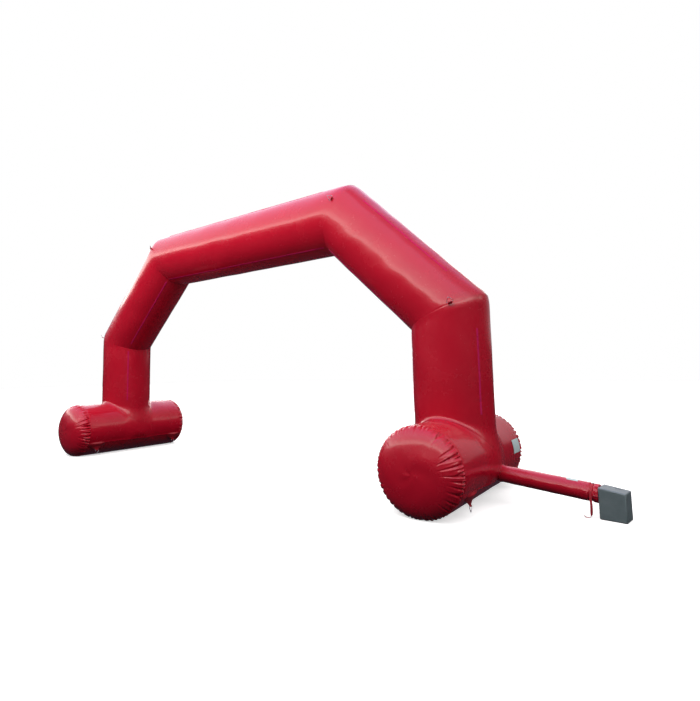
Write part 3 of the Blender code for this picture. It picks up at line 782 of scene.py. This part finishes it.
def cap_grid(seed, depth, pull):
    angle = ((np.arange(CAP_COLUMNS) + 0.5) * 2 * math.pi / CAP_COLUMNS)[None, :]
    share = np.linspace(0, 0.985, CAP_ROWS) ** 1.35
    radius, bulge = cap_profile(share, depth)
    fine = np.linspace(0, 1, 400)
    fine_radius, fine_bulge = cap_profile(fine, depth)
    steps = np.hypot(np.diff(fine_radius), np.diff(fine_bulge))
    reach = np.interp(share, fine, np.concatenate([[0], np.cumsum(steps)]))[:, None]
    slope = np.gradient(bulge, share), -np.gradient(radius, share)
    normal = unit(np.stack(slope, axis=-1))
    random = np.random.default_rng(seed)
    height = valleys(angle, reach, random, 46, 0.0250, 0.0150, 0.20, pull)
    height = height + valleys(angle, reach, random, 52, 0.0120, 0.0110, 0.15, (0.0, 0.4))
    height = height + slack(angle, reach * 2, seed + 1, 0.0022) * smooth_step(reach, 0.0, 0.25)
    height = height - RIM_DIP * np.exp(-(reach / 0.014) ** 2)
    across = radius[:, None] + height * normal[:, :1]
    out = FOOT_HALF + 0.0003 + np.maximum(bulge[:, None] + height * normal[:, 1:], 0.0)
    grid = np.stack([across * np.sin(angle), -out, FOOT_Z + across * np.cos(angle)], axis=-1)
    grid[..., 2] = np.maximum(grid[..., 2], 0.0)
    return grid


for side, word in SIDES:
    for end, place in ((1, "front"), (-1, "back")):
        depth = CAP_BULGE - (CAP_FLATTER if side * end > 0 else 0.0)
        pull = math.radians(CAP_PULL_AT * side), CAP_PULL[word]
        grid = set_out(cap_grid(CAP_SEED + 10 * side + end, depth, pull), side, end)
        add_cloth("gathered_end_" + word + "_" + place, grid, "cap_" + word + "_" + place)
print("gathered ends:", CAP_ROWS, "x", CAP_COLUMNS, "points each")

# %% [markdown]
# ## Hook tapes
#
# A banner is hung from strips of hook tape, one on each side of the front line. A tape is stiffer
# than the cloth under it. It follows the tube at a fixed angle, so it is the tube's own formula
# once more, with a small lift and a flat section of five points.

# %% Hook tapes
TAPE_WIDTH = 0.025
TAPE_THICK = 0.0020
TAPE_ROWS = 150


def strip_on(place, centre, span):
    """A flat strip that follows a surface. place(angle, along, lift) gives the surface's points.
    The section is a rounded flat bar: five points on top and two below."""
    across = np.array((-0.5, -0.47, 0.0, 0.47, 0.5, 0.5, -0.5)) * TAPE_WIDTH / TUBE_R
    lift = np.array((0.0012, TAPE_THICK, TAPE_THICK + 0.0003, TAPE_THICK, 0.0012, -0.004, -0.004))
    along = np.linspace(*span, TAPE_ROWS)
    along, angle = np.meshgrid(along, centre + across, indexing="ij")
    return place(angle, along, np.broadcast_to(lift, along.shape) + 0.0003)


def leg_place(side):
    """The leg's surface in the arch's place, as a function of angle, height and lift."""
    def place(angle, along, lift):
        return set_out(leg_point(angle, along, LEG_SEED + 10 * side, lift), side)
    return place


tape_places = [("leg", LEG_TAPE, {word: leg_place(side) for side, word in SIDES}),
               ("slant", SLANT_TAPE, {word: tube.place for word, tube in slants.items()}),
               ("beam", BEAM_TAPE, {"": beam.place})]
tapes = []
for part, span, places in tape_places:
    for word, place in places.items():
        for line, angle in (("outer", TAPE_ANGLE), ("inner", -TAPE_ANGLE)):
            tail = "_" + word if word else ""
            name = "hook_tape_" + part + "_" + line + tail
            piece = finish_piece(name, grid_mesh(name, strip_on(place, angle, span)), hook_tape,
                                 ["tape_" + part + "_" + line + tail])
            tapes.append(piece)
print("hook tapes:", len(tapes))

# %% [markdown]
# ## Flat strips along a path
#
# The tie strap, the tabs and the labels are all flat strips that follow a path: at each point the
# section lies along a given crosswise direction, and its thickness along the normal.

# %% Strips


def strip_mesh(name, path, across, thickness, widths, stand=0.0, cells=2):
    """A strip with slightly rounded edges, cells wide. stand lifts the middle of each row along the
    normal, falling off as 1 - (2 s) ** 2 towards the edges. The UV map holds metres across and along."""
    path = np.asarray(path, float)
    tangent = np.gradient(path, axis=0)
    normal = unit(np.cross(tangent, across))
    upper = np.concatenate([[-0.5], np.linspace(-0.46, 0.46, cells + 1), [0.5]])
    side = np.concatenate([upper, upper[::-1]])
    rise = np.full(len(upper), 0.5)
    rise[[0, -1]] = 0.25
    rise = np.concatenate([rise, -rise])
    widths = np.broadcast_to(widths, len(path))
    stand = np.broadcast_to(stand, len(path))
    height = thickness * rise[None, :] + stand[:, None] * (1 - 4 * side ** 2)
    grid = (path[:, None, :] + (widths[:, None] * side)[..., None] * across[:, None, :]
            + height[..., None] * normal[:, None, :])
    run = np.concatenate([[0], np.cumsum(np.linalg.norm(np.diff(path, axis=0), axis=1))])
    uv = np.stack([widths[:, None] * side, np.broadcast_to(run[:, None], grid.shape[:2])], axis=-1)
    return grid_mesh(name, grid, uv), float(run[-1])


def smooth_path(points, count):
    """A finer path through points by centripetal Catmull-Rom segments, worked out as arrays."""
    points = np.asarray(points, float)
    padded = np.vstack([2 * points[0] - points[1], points, 2 * points[-1] - points[-2]])
    place = np.linspace(0, len(points) - 1, count)
    index = np.minimum(place.astype(int), len(points) - 2)
    t = (place - index)[:, None]
    a, b, c, d = (padded[index + k] for k in range(4))
    return 0.5 * (2 * b + (c - a) * t + (2 * a - 5 * b + 4 * c - d) * t ** 2
                  + (3 * b - a - 3 * c + d) * t ** 3)


# %% [markdown]
# ## Inflation sleeve
#
# The sleeve is a small tube out of the foot's flank. Near its far end a tie draws it in against
# the blower's outlet, and the cloth bunches into deep folds on both sides of the tie. Away from
# the tie it is as tight as the arch.

# %% Sleeve
SLEEVE_START = np.array((4.200, 0.155, 0.340))
SLEEVE_TIE = np.array((5.245, 0.048, 0.258))
SLEEVE_R = 0.101
SLEEVE_REACH = 0.985
SLEEVE_COLUMNS = 144
BLOWER_CORNER = np.array((5.307, -0.048))
BLOWER_TURN = math.radians(-8.0)
SLEEVE_AXIS = unit(SLEEVE_TIE - SLEEVE_START)
SLEEVE_UP = unit(UP - (UP @ SLEEVE_AXIS) * SLEEVE_AXIS)
SLEEVE_FRONT = np.cross(SLEEVE_UP, SLEEVE_AXIS)
SLEEVE_FRONT = SLEEVE_FRONT if SLEEVE_FRONT[1] < 0 else -SLEEVE_FRONT


def blower_point(across, along, height):
    """A point from the blower's front left corner on the ground, in its own turned axes."""
    across, along, height = np.broadcast_arrays(across, along, height)
    x = BLOWER_CORNER[0] + across * math.cos(BLOWER_TURN) - along * math.sin(BLOWER_TURN)
    y = BLOWER_CORNER[1] + across * math.sin(BLOWER_TURN) + along * math.cos(BLOWER_TURN)
    return np.stack([x, y, height], axis=-1)


def sleeve_radius(angle, t):
    """Radius at a distance t along the axis from the tie: a cylinder, less a groove at the tie,
    plus folds that run into it from both sides, and short crossways crumples between them."""
    groove = 0.0135 * np.exp(-(t / 0.019) ** 4)
    near = np.exp(-np.clip(-t, 0, None) / 0.055)
    folds = pleat_line(angle / (2 * math.pi), 19, 5, 1.1)
    deep = 0.0125 * near * smooth_step(np.abs(t), 0.008, 0.045)
    crumple = 0.0035 * near * np.cos(5 * angle + 60 * t) * np.cos(2 * angle - 95 * t + 1.0)
    flange = 0.0045 * np.exp(-((t + SLEEVE_REACH) / 0.008) ** 4)
    return SLEEVE_R - groove + folds * deep + crumple + flange + slack(angle, t * 3, 8, 0.0008)


def sleeve_grid():
    angle = (np.arange(SLEEVE_COLUMNS) + 0.5) * 2 * math.pi / SLEEVE_COLUMNS
    t = np.concatenate([np.linspace(-1.16, -1.02, 6), np.linspace(-1.01, -0.96, 16),
                        np.linspace(-0.94, -0.22, 60), np.linspace(-0.21, 0.033, 62)])
    t, angle = np.meshgrid(t, angle, indexing="ij")
    out = np.cos(angle)[..., None] * SLEEVE_UP + np.sin(angle)[..., None] * SLEEVE_FRONT
    grid = SLEEVE_TIE + t[..., None] * SLEEVE_AXIS + sleeve_radius(angle, t)[..., None] * out
    wall = blower_point(0.0, 0.0, 0.0)
    wall_normal = unit(blower_point(1.0, 0.0, 0.0) - wall)
    last = grid[-1]
    to_wall = ((wall - last) @ wall_normal - 0.0006) / (SLEEVE_AXIS @ wall_normal)
    last = last + to_wall[:, None] * SLEEVE_AXIS
    return np.concatenate([grid, last[None]])


add_cloth("inflation_sleeve", sleeve_grid(), "sleeve")
print("sleeve: radius", SLEEVE_R, "m")

# %% [markdown]
# ## Tie strap and buckle
#
# The strap starts on top of the sleeve, goes once round over the front, once more down to the
# front, and its free end hangs, turns by a quarter and lies on the ground in a bend.

# %% Strap
STRAP_WIDTH = 0.025
STRAP_THICK = 0.0020
STRAP_R = 0.0908
STRAP_CLIMB = 0.0030


def strap_path():
    """A spiral of 450 degrees round the sleeve, then the free end down to the ground. A row of
    tail is a height, two offsets sideways, and how far the strap has turned, in degrees."""
    angle = np.radians(np.linspace(0.0, 450.0, 49))
    radius = STRAP_R + STRAP_CLIMB * angle / (2 * math.pi)
    wound = (SLEEVE_TIE + (radius * np.cos(angle))[:, None] * SLEEVE_UP
             + (radius * np.sin(angle))[:, None] * SLEEVE_FRONT)
    tail = np.array(((0.215, 0.000, -0.001, 1.0), (0.180, 0.001, -0.003, 3.0),
                     (0.140, 0.003, -0.003, 6.0), (0.100, 0.002, 0.000, 11.0),
                     (0.062, 0.000, 0.003, 22.0), (0.034, -0.002, 0.004, 52.0),
                     (0.017, -0.007, 0.004, 90.0), (0.0065, -0.017, 0.003, 90.0),
                     (0.0025, -0.030, 0.001, 90.0), (0.0032, -0.044, -0.002, 90.0),
                     (0.0100, -0.060, -0.004, 90.0), (0.0210, -0.073, -0.006, 90.0)))
    hang = np.stack([wound[-1, 0] + tail[:, 1], wound[-1, 1] + tail[:, 2], tail[:, 0]], axis=1)
    turn = np.radians(np.concatenate([np.zeros(len(angle)), tail[:, 3]]))
    across = np.cos(turn)[:, None] * RIGHT - np.sin(turn)[:, None] * FRONT
    across[: len(angle)] = SLEEVE_AXIS
    return np.vstack([wound, hang]), across


path, across = strap_path()
mesh, strap_length = strip_mesh("tie_strap", smooth_path(path, 240), unit(smooth_path(across, 240)),
                                STRAP_THICK, STRAP_WIDTH)
strap = finish_piece("tie_strap", mesh, webbing, ["strap"])
print(f"strap: {strap_length:.3f} m long")


def buckle_mesh():
    """A flat steel bar with rounded ends, bent a little to the sleeve's curve."""
    level = STRAP_R + STRAP_CLIMB + STRAP_THICK / 2 + 0.0036
    sweep = np.linspace(-0.155, 0.155, 24)
    path = (SLEEVE_TIE + ((level + 0.001) * np.cos(sweep) - 0.001)[:, None] * SLEEVE_UP
            + (level * np.sin(sweep))[:, None] * SLEEVE_FRONT)
    ends = np.sqrt(np.clip(1 - (np.abs(sweep) / 0.156) ** 6, 0.05, 1))
    return strip_mesh("strap_plate", path, np.repeat(SLEEVE_AXIS[None], 24, axis=0), 0.005, 0.033 * ends)[0]


finish_piece("strap_plate", buckle_mesh(), steel_wire, ["strap_buckle"])

# %% [markdown]
# ## Tabs and delta rings
#
# A ring is round wire bent into a triangle with soft corners. The centre line is the triangle's
# outline with arcs at the corners. The tab's hem wraps round the ring's straight bar.

# %% Rings
WIRE_R = 0.0035
RING_HALF = 0.046
RING_DROP = 0.070
RING_BEND = 0.006


def ring_outline():
    """Points of a triangle with arcs of RING_BEND at its corners, seven points to an arc."""
    corners = np.array(((-RING_HALF, 0.0), (RING_HALF, 0.0), (0.0, RING_DROP)))
    arriving = unit(corners - np.roll(corners, 1, axis=0))
    leaving = unit(np.roll(corners, -1, axis=0) - corners)
    turn = np.arccos(np.clip(np.sum(arriving * leaving, axis=1), -1, 1))
    inward = unit(leaving - arriving)
    centre = corners + (RING_BEND / np.cos(turn / 2))[:, None] * inward
    sweep = np.linspace(-0.5, 0.5, 7)[None, :] * turn[:, None]
    arc = (centre[:, None, :] - RING_BEND * (np.cos(sweep)[..., None] * inward[:, None, :]
           - np.sin(sweep)[..., None] * unit(arriving + leaving)[:, None, :]))
    return arc.reshape(-1, 2)


def ring_mesh(name, centre, bar, drop, sides=12):
    """Wire round the outline: at each point a circle across the outline's direction."""
    flat = ring_outline()
    tangent = unit(np.roll(flat, -1, axis=0) - np.roll(flat, 1, axis=0))
    sideways = np.stack([-tangent[:, 1], tangent[:, 0]], axis=1)
    normal = np.cross(bar, drop)
    spin = np.arange(sides) * 2 * math.pi / sides
    lean = sideways[:, :1] * bar + sideways[:, 1:] * drop
    spot = centre + flat[:, :1] * bar + flat[:, 1:] * drop
    grid = (spot[:, None, :] + WIRE_R * (np.cos(spin)[None, :, None] * lean[:, None, :]
            + np.sin(spin)[None, :, None] * normal))
    rows = len(flat)
    quads = grid_faces(rows + 1, sides, True) % (rows * sides)
    mesh = bpy.data.meshes.new(name)
    mesh.from_pydata((grid.reshape(-1, 3) + SHIFT).tolist(), [], quads.tolist())
    return mesh


# %% [markdown]
# ### Tabs
#
# A foot tab is a strip welded along the foot's hem, which leaves the foot and narrows to the ring.
# A corner tab stands in the plane of a mitred seam, sewn between the two tubes.

# %% Tabs
SHEET = 0.0030
LOOP_R = WIRE_R + 0.0005 + SHEET / 2
LOOP_HALF = 0.028
TAB_BASE_HALF = 0.165
TAB_START = math.radians(27.0 - 2.5)
TAB_LEAVE = math.radians(34.0)
TAB_DROP = 0.085
TAB_ENDS = (("inner_front", -1, -0.91), ("inner_back", -1, 0.94),
            ("outer_front", 1, -0.91), ("outer_back", 1, 0.94))
FORWARD_TAB = "right_outer_front"
FORWARD_TAB_Y = -0.77


def with_hem(line, widths):
    """Adds the hem: a turn of 300 degrees round the ring's bar, from the line's last point."""
    turn = np.radians(np.linspace(10.0, 300.0, 30))
    end = line[-1]
    hem = np.stack([end[0] + LOOP_R * np.sin(turn), end[1] + LOOP_R * (1 - np.cos(turn))], axis=1)
    return np.vstack([line, hem]), np.concatenate([widths, np.full(len(hem), 2 * LOOP_HALF)])


def tab_mesh(name, line, widths, origin, along, side, across, stand=0.0):
    """A strip along a line in the plane of along and side, with its hem. Returns the bar's middle."""
    flat, wide = with_hem(line, widths)
    path = origin + flat[:, :1] * along + flat[:, 1:] * side
    lift = np.zeros(len(path))
    lift[: len(line)] = stand
    mesh, _ = strip_mesh(name, path, np.repeat(across[None], len(path), axis=0), SHEET, wide, lift, 12)
    end = line[-1]
    return mesh, origin + end[0] * along + (end[1] + LOOP_R) * side


def foot_tab(name, side, face, y):
    """Follows the foot between two angles below its equator, then hangs and narrows. Its middle
    stands off the foot, so that its top edge is a crescent that catches the light."""
    radius = FOOT_R + 0.0006 + SHEET / 2
    angle = np.linspace(TAB_START, TAB_LEAVE, 14)
    strip = np.stack([radius * np.sin(angle), radius * np.cos(angle)], axis=1)
    fall = TAB_DROP * np.linspace(0.05, 1.0, 16)
    hang = np.stack([strip[-1, 0] + fall, strip[-1, 1] + 0.004 * fall / TAB_DROP], axis=1)
    welded = 2 * TAB_BASE_HALF * np.interp(angle, angle[[0, 4, 13]], (0.80, 1.08, 1.00))
    share = 1 - fall / TAB_DROP
    falling = 2 * (LOOP_HALF + (TAB_BASE_HALF * 0.98 - LOOP_HALF) * share ** 1.6)
    place = np.linspace(0, 1, 14)
    stand = np.concatenate([0.026 * smooth_step(place, 0.0, 0.30), 0.026 * share ** 1.5])
    origin = np.array((side * LEG_X, y, FOOT_Z))
    return tab_mesh(name, np.vstack([strip, hang]), np.concatenate([welded, falling]), origin, -UP,
                    RIGHT * side * face, BACK, side * face * stand)


def add_ring(place, centre, bar, drop):
    name = "delta_ring_" + place
    finish_piece(name, ring_mesh(name, centre, bar, drop), steel_wire, ["ring_" + place], 80)


for side, word in SIDES:
    for end, face, y in TAB_ENDS:
        place = "foot_" + word + "_" + end
        name = "welded_tab_" + place
        if word + "_" + end == FORWARD_TAB:
            y = FORWARD_TAB_Y
        mesh, centre = foot_tab(name, side, face, y)
        finish_piece(name, mesh, tab_cloth, ["tab_" + place])
        add_ring(place, centre, BACK, -UP)
print("foot tabs:", 2 * len(TAB_ENDS))

# %% Corner tabs
CORNER_ANGLE = math.radians(22.5)
CORNER_RING_TURN = math.radians(55.0)
CORNER_TAB = 0.042


def corner_spot(corner, axis, outer, cut):
    """A point of the mitred seam at CORNER_ANGLE, the seam's direction there, and outwards from it."""
    def seam_point(angle):
        offset = (TUBE_R - 0.005) * (math.cos(angle) * FRONT + math.sin(angle) * outer)
        return corner + offset - (offset @ cut) / (axis @ cut) * axis
    spot = seam_point(CORNER_ANGLE)
    tangent = unit(seam_point(CORNER_ANGLE + 0.01) - seam_point(CORNER_ANGLE - 0.01))
    outward = spot - corner
    return spot, tangent, unit(outward - (outward @ tangent) * tangent)


def add_corner(place, corner, axis, outer, cut, lean_to):
    """A tab that stands out of the seam, and its ring, which leans towards lean_to."""
    spot, tangent, outward = corner_spot(corner, axis, outer, cut)
    reach = np.linspace(-0.012, CORNER_TAB, 16)
    line = np.stack([reach, np.zeros(16)], axis=1)
    name = "sewn_tab_" + place
    mesh, centre = tab_mesh(name, line, np.full(16, 2 * LOOP_HALF), spot, outward, lean_to, tangent)
    finish_piece(name, mesh, tab_cloth, ["tab_" + place])
    drop = math.cos(CORNER_RING_TURN) * outward + math.sin(CORNER_RING_TURN) * lean_to
    add_ring(place, centre, tangent, drop)


SLANT_UP = unit((-1.0, 0.0, 1.0))
KNEE_CUT = unit(UP + SLANT_UP)
SHOULDER_CUT = unit(SLANT_UP - RIGHT)
for side, word in SIDES:
    flip = np.array((side, 1.0, 1.0))
    outer = unit((1.0, 0.0, 1.0)) * flip
    add_corner("knee_" + word, KNEE * flip, SLANT_UP * flip, outer, KNEE_CUT * flip, KNEE_CUT * flip)
    add_corner("shoulder_" + word, SHOULDER * flip, SLANT_UP * flip, outer, SHOULDER_CUT * flip,
               SHOULDER_CUT * flip)
print("corner tabs: 4")

# %% [markdown]
# ## Blower
#
# The blower is a moulded box with a sloping top. A slot with three slats is sunk near the back of
# the top. A Bevel modifier rounds only the outer edges, which carry a bevel weight.

# %% Blower
BLOWER_W = 0.262
BLOWER_D = 0.225
BLOWER_H_LEFT = 0.335
BLOWER_H_RIGHT = 0.302
BLOWER_BEVEL = 0.013

# left, right, front and back of the slot, from the blower's front left corner
SLOT = (0.112, 0.188, 0.152, 0.176)
SLOT_DEPTH = 0.011


def top_height(across):
    """The blower's top slopes down to its right."""
    return BLOWER_H_LEFT + (BLOWER_H_RIGHT - BLOWER_H_LEFT) * np.asarray(across) / BLOWER_W


def box_mesh(name, corners, faces, rounded):
    """A closed mesh. The first rounded edges of the outer box get a bevel weight of one."""
    mesh = bpy.data.meshes.new(name)
    mesh.from_pydata((corners + SHIFT).tolist(), [], faces)
    weight = mesh.attributes.new("bevel_weight_edge", "FLOAT", "EDGE")
    for edge in mesh.edges:
        weight.data[edge.index].value = 1.0 if max(edge.vertices) < rounded else 0.0
    return mesh


def case_mesh():
    """A box whose top has a sunk slot: eight outer corners, four at the slot's edge, four at its floor."""
    left, right, front, back = SLOT
    outer_x = np.array((0, 0, BLOWER_W, BLOWER_W))
    outer_y = np.array((0, BLOWER_D, BLOWER_D, 0))
    slot_x = np.array((left, left, right, right))
    slot_y = np.array((front, back, back, front))
    corners = np.vstack([blower_point(outer_x, outer_y, np.zeros(4)),
                         blower_point(outer_x, outer_y, top_height(outer_x)),
                         blower_point(slot_x, slot_y, top_height(slot_x)),
                         blower_point(slot_x, slot_y, top_height(slot_x) - SLOT_DEPTH)])
    sides = [(k, k + 4, (k + 1) % 4 + 4, (k + 1) % 4) for k in range(4)]
    top = [(k + 4, k + 8, (k + 1) % 4 + 8, (k + 1) % 4 + 4) for k in range(4)]
    slot = [(k + 8, k + 12, (k + 1) % 4 + 12, (k + 1) % 4 + 8) for k in range(4)]
    return box_mesh("blower_case", corners, [(0, 1, 2, 3)] + sides + top + slot + [(12, 13, 14, 15)], 8)


def slats_mesh():
    """Three thin slats across the slot, leaning back, each a closed box of its own."""
    left, right, front, back = SLOT
    points = []
    faces = []
    for number in range(3):
        y = front + (back - front) * (number + 0.8) / 3.4
        x = np.array((left, left, right, right) * 2)
        along = y + np.array((0.0, 0.0013, 0.0013, 0.0) * 2) + np.repeat((0.0, 0.0035), 4)
        height = top_height(x) + np.repeat((-SLOT_DEPTH, -0.0012), 4)
        points.append(blower_point(x, along, height))
        base = 8 * number
        cells = [(0, 1, 2, 3), (4, 7, 6, 5), (0, 4, 5, 1), (1, 5, 6, 2), (2, 6, 7, 3), (3, 7, 4, 0)]
        faces += [tuple(base + corner for corner in cell) for cell in cells]
    mesh = bpy.data.meshes.new("blower_slats")
    mesh.from_pydata((np.vstack(points) + SHIFT).tolist(), [], faces)
    return mesh


def add_blower():
    case = finish_piece("blower_case", case_mesh(), grey_plastic, ["blower"], 30)
    rounding = case.modifiers.new("rounding", "BEVEL")
    rounding.limit_method = "WEIGHT"
    rounding.width = BLOWER_BEVEL
    rounding.segments = 4
    finish_piece("blower_slats", slats_mesh(), grey_plastic, [], 30)


add_blower()
print("blower: 1 case")

# %% [markdown]
# ## Labels
#
# A label is a thin patch that follows a round surface. Both are left blank.

# %% Labels


def patch_mesh(name, origin, axis, zero, side, radius, along, angles):
    """A strip that follows an arc from zero towards side, as wide as the span along the axis."""
    sweep = np.radians(np.linspace(*angles, 30))
    path = origin + (radius + 0.0011) * (np.cos(sweep)[:, None] * zero + np.sin(sweep)[:, None] * side)
    path = path + (along[0] + along[1]) / 2 * axis
    width = along[1] - along[0]
    mesh, length = strip_mesh(name, path, np.repeat(axis[None], len(path), axis=0), 0.0010, width)
    return mesh, (width, length)


mesh, size = patch_mesh("foot_label", np.array((LEG_X, 0.0, FOOT_Z)), BACK, RIGHT, UP, FOOT_R + 0.004,
                        (0.74, 1.03), (-1.0, 19.0))
piece = finish_piece("foot_label", mesh, blank_label, ["label_foot"])
mesh, size = patch_mesh("sleeve_label", SLEEVE_TIE, SLEEVE_AXIS, SLEEVE_UP, SLEEVE_FRONT, SLEEVE_R + 0.001,
                        (-0.255, -0.140), (-7.0, 24.0))
piece = finish_piece("sleeve_label", mesh, blank_label, ["label_sleeve"])
print("labels: 2, blank")

# %% [markdown]
# ## Floor and light
#
# The stage is a plain pale floor in front of a pale background. What gives wet-looking cloth its
# shape is what it mirrors, so the cloth mirrors a soft dome, dark below and bright from about 14
# degrees above the horizon. The dome lights nothing itself: soft lamps that aren't mirrored do
# that. The camera sees the plain background instead of the dome.

# %% Stage
GROUND_COLOUR = (0.46, 0.40, 0.40)
# painted shade: the near-black colour of the patches round the feet, for the ground in their shadow
SHADE_COLOUR = (0.020, 0.018, 0.018)
SKY_STRENGTH = 5.0
SKY_STOPS = ((-1.0, (0.010, 0.006, 0.009)), (0.06, (0.010, 0.006, 0.009)), (0.16, (0.040, 0.024, 0.036)),
             (0.235, (0.060, 0.036, 0.050)), (0.257, (0.95, 0.90, 0.84)), (0.32, (0.76, 0.71, 0.68)),
             (0.42, (0.32, 0.29, 0.32)), (1.0, (0.165, 0.145, 0.27)))
WALL_STOPS = ((-1.0, (0.010, 0.006, 0.008)), (0.02, (0.010, 0.006, 0.008)), (0.06, (0.088, 0.075, 0.080)),
              (0.55, (0.100, 0.088, 0.095)), (0.70, (0.14, 0.12, 0.21)))
WALL_AT = math.radians(160.0)
DIM_AT = math.radians(125.0)
DIM = 0.70
WALL_SPAN = (0.860, 0.920)
DIM_SPAN = (0.70, 0.95)
RISE_SPAN = (0.17, 0.97)
SOFTBOX_SIZE = (10.0, 2.5)
SOFTBOX_POWER = 405.0
SOFTBOX_AT = (MIDDLE, -5.0, 6.2)
SOFTBOX_TURN = math.radians(65.0)

# name, azimuth from the front towards the right, elevation, strength and width of each sun
SUNS = (("overhead", 0, 90, 2.5, 120), ("right", 60, 35, 0.35, 60), ("back_right", 120, 40, 0.6, 60))
RISE_AT = math.radians(35.0)
RISE = 0.14


def add_plane(name, centre, half, z, colour, glow):
    """A flat sheet at a height, half its size on each side of its centre. Only the stage uses it."""
    corners = np.array(((-1, -1), (1, -1), (1, 1), (-1, 1))) * half + centre
    mesh = bpy.data.meshes.new(name)
    mesh.from_pydata([(float(x), float(y), z) for x, y in corners], [], [(0, 1, 2, 3)])
    paint = bpy.data.materials.new(name + "_paint")
    paint.use_nodes = True
    shader = paint.node_tree.nodes["Principled BSDF"]
    shader.inputs["Base Color"].default_value = (*colour, 1.0)
    shader.inputs["Roughness"].default_value = 0.9
    shader.inputs["Specular IOR Level"].default_value = 0.1
    shader.inputs["Emission Color"].default_value = (1.0, 1.0, 1.0, 1.0)
    shader.inputs["Emission Strength"].default_value = glow
    mesh.materials.append(paint)
    plane = bpy.data.objects.new(name, mesh)
    bpy.context.scene.collection.objects.link(plane)
    plane.visible_glossy = False
    return plane


def add_floor():
    """The pale floor is for the camera alone. What the arch gets back from below comes from a darker sheet
    just under it, with a near-black patch of painted shade round each foot, which stands in for the ground
    lying in the feet's shadow there, so that the lower cloth stays deep red."""
    floor = add_plane("floor", (0, 0), (60, 60), 0.0, (0.88, 0.88, 0.88), 0.55)
    floor.visible_diffuse = False
    ground = add_plane("ground_bounce", (0, 0), (60, 60), -0.002, GROUND_COLOUR, 0.0)
    ground.visible_camera = False
    for side, word in ((-1, "left"), (1, "right")):
        # painted shade: a near-black sheet round each foot, where the ground lies in the feet's shadow
        shade = add_plane("ground_shade_" + word, (MIDDLE + side * LEG_X, 0), (3.0, 5.0), -0.001,
                          SHADE_COLOUR, 0.0)
        shade.visible_camera = False


class Sky:
    """Small helpers for the nodes of the world."""

    def __init__(self, world):
        self.nodes = world.node_tree.nodes
        self.links = world.node_tree.links
        self.nodes.clear()
        self.direction = self.nodes.new("ShaderNodeTexCoord").outputs["Generated"]

    def add(self, kind, operation, *values):
        """A node whose first inputs are set to the values, each a constant or another node's socket."""
        node = self.nodes.new(kind)
        if operation:
            node.operation = operation
        for socket, value in zip(node.inputs, values):
            if isinstance(value, bpy.types.NodeSocket):
                self.links.new(value, socket)
            else:
                socket.default_value = value
        return node

    def towards(self, azimuth, low, high):
        """0 to 1 as the level part of the direction turns to an azimuth: a dot product, remapped."""
        level = self.add("ShaderNodeVectorMath", "MULTIPLY", self.direction, (1.0, 1.0, 0.0))
        level = self.add("ShaderNodeVectorMath", "NORMALIZE", level.outputs[0])
        aim = (math.sin(azimuth), -math.cos(azimuth), 0.0)
        dot = self.add("ShaderNodeVectorMath", "DOT_PRODUCT", level.outputs[0], aim)
        return self.add("ShaderNodeMapRange", None, dot.outputs["Value"], low, high).outputs[0]

    def ramp(self, height, stops):
        """Colours by height, from -1 straight down to 1 straight up."""
        share = self.add("ShaderNodeMapRange", None, height, -1.0)
        ramp = self.add("ShaderNodeValToRGB", None, share.outputs[0])
        marks = ramp.color_ramp.elements
        while len(marks) < len(stops):
            marks.new(1.0)
        for mark, (place, colour) in zip(marks, stops):
            mark.position = (place + 1) / 2
            mark.color = (*colour, 1.0)
        return ramp.outputs[0]


def add_dome():
    """What the cloth mirrors. The sky starts sharply about 14 degrees up, higher towards the front
    right, as over a line of trees. A dull warm wall stands in one direction at the back, and the
    sky is dimmer round it. The camera's own rays see a plain pale background."""
    world = bpy.data.worlds.new("soft_dome")
    bpy.context.scene.world = world
    world.use_nodes = True
    sky = Sky(world)
    up = sky.add("ShaderNodeSeparateXYZ", None, sky.direction).outputs["Z"]
    rise = sky.add("ShaderNodeMath", "MULTIPLY_ADD", sky.towards(RISE_AT, *RISE_SPAN), -RISE, up)
    mix = sky.nodes.new("ShaderNodeMix")
    mix.data_type = "RGBA"
    sky.links.new(sky.towards(WALL_AT, *WALL_SPAN), mix.inputs[0])
    sky.links.new(sky.ramp(rise.outputs[0], SKY_STOPS), mix.inputs[6])
    sky.links.new(sky.ramp(up, WALL_STOPS), mix.inputs[7])
    strength = sky.add("ShaderNodeMath", "MULTIPLY_ADD", sky.towards(DIM_AT, *DIM_SPAN),
                       -DIM * SKY_STRENGTH, SKY_STRENGTH)
    glow = sky.add("ShaderNodeBackground", None, mix.outputs[2], strength.outputs[0])
    plain = sky.add("ShaderNodeBackground", None, (1.0, 1.0, 1.0, 1.0))
    seen = sky.add("ShaderNodeLightPath", None).outputs["Is Camera Ray"]
    choose = sky.add("ShaderNodeMixShader", None, seen, glow.outputs[0], plain.outputs[0])
    sky.add("ShaderNodeOutputWorld", None, choose.outputs[0])
    world.cycles_visibility.diffuse = False


def add_lamp(name, light, at, turn):
    """Links a lamp that lights the cloth but isn't mirrored in it."""
    lamp = bpy.data.objects.new(name, light)
    bpy.context.scene.collection.objects.link(lamp)
    lamp.location = at
    lamp.rotation_euler = turn
    lamp.visible_glossy = False


def add_lamps():
    """Soft lamps light the cloth itself: a very wide one straight above,
    two from the right, and a long softbox in front of the beam and a little above it."""
    for name, azimuth, elevation, strength, spread in SUNS:
        light = bpy.data.lights.new(name, "SUN")
        light.energy = strength
        light.angle = math.radians(spread)
        add_lamp(name, light, (0.0, 0.0, 10.0), (math.radians(90 - elevation), 0.0, math.radians(azimuth)))
    softbox = bpy.data.lights.new("softbox", "AREA")
    softbox.shape = "RECTANGLE"
    softbox.size, softbox.size_y = SOFTBOX_SIZE
    softbox.energy = SOFTBOX_POWER
    add_lamp("softbox", softbox, SOFTBOX_AT, (SOFTBOX_TURN, 0.0, 0.0))


add_floor()
add_dome()
add_lamps()
bpy.context.scene.view_settings.view_transform = "Standard"
print("stage and light are set")
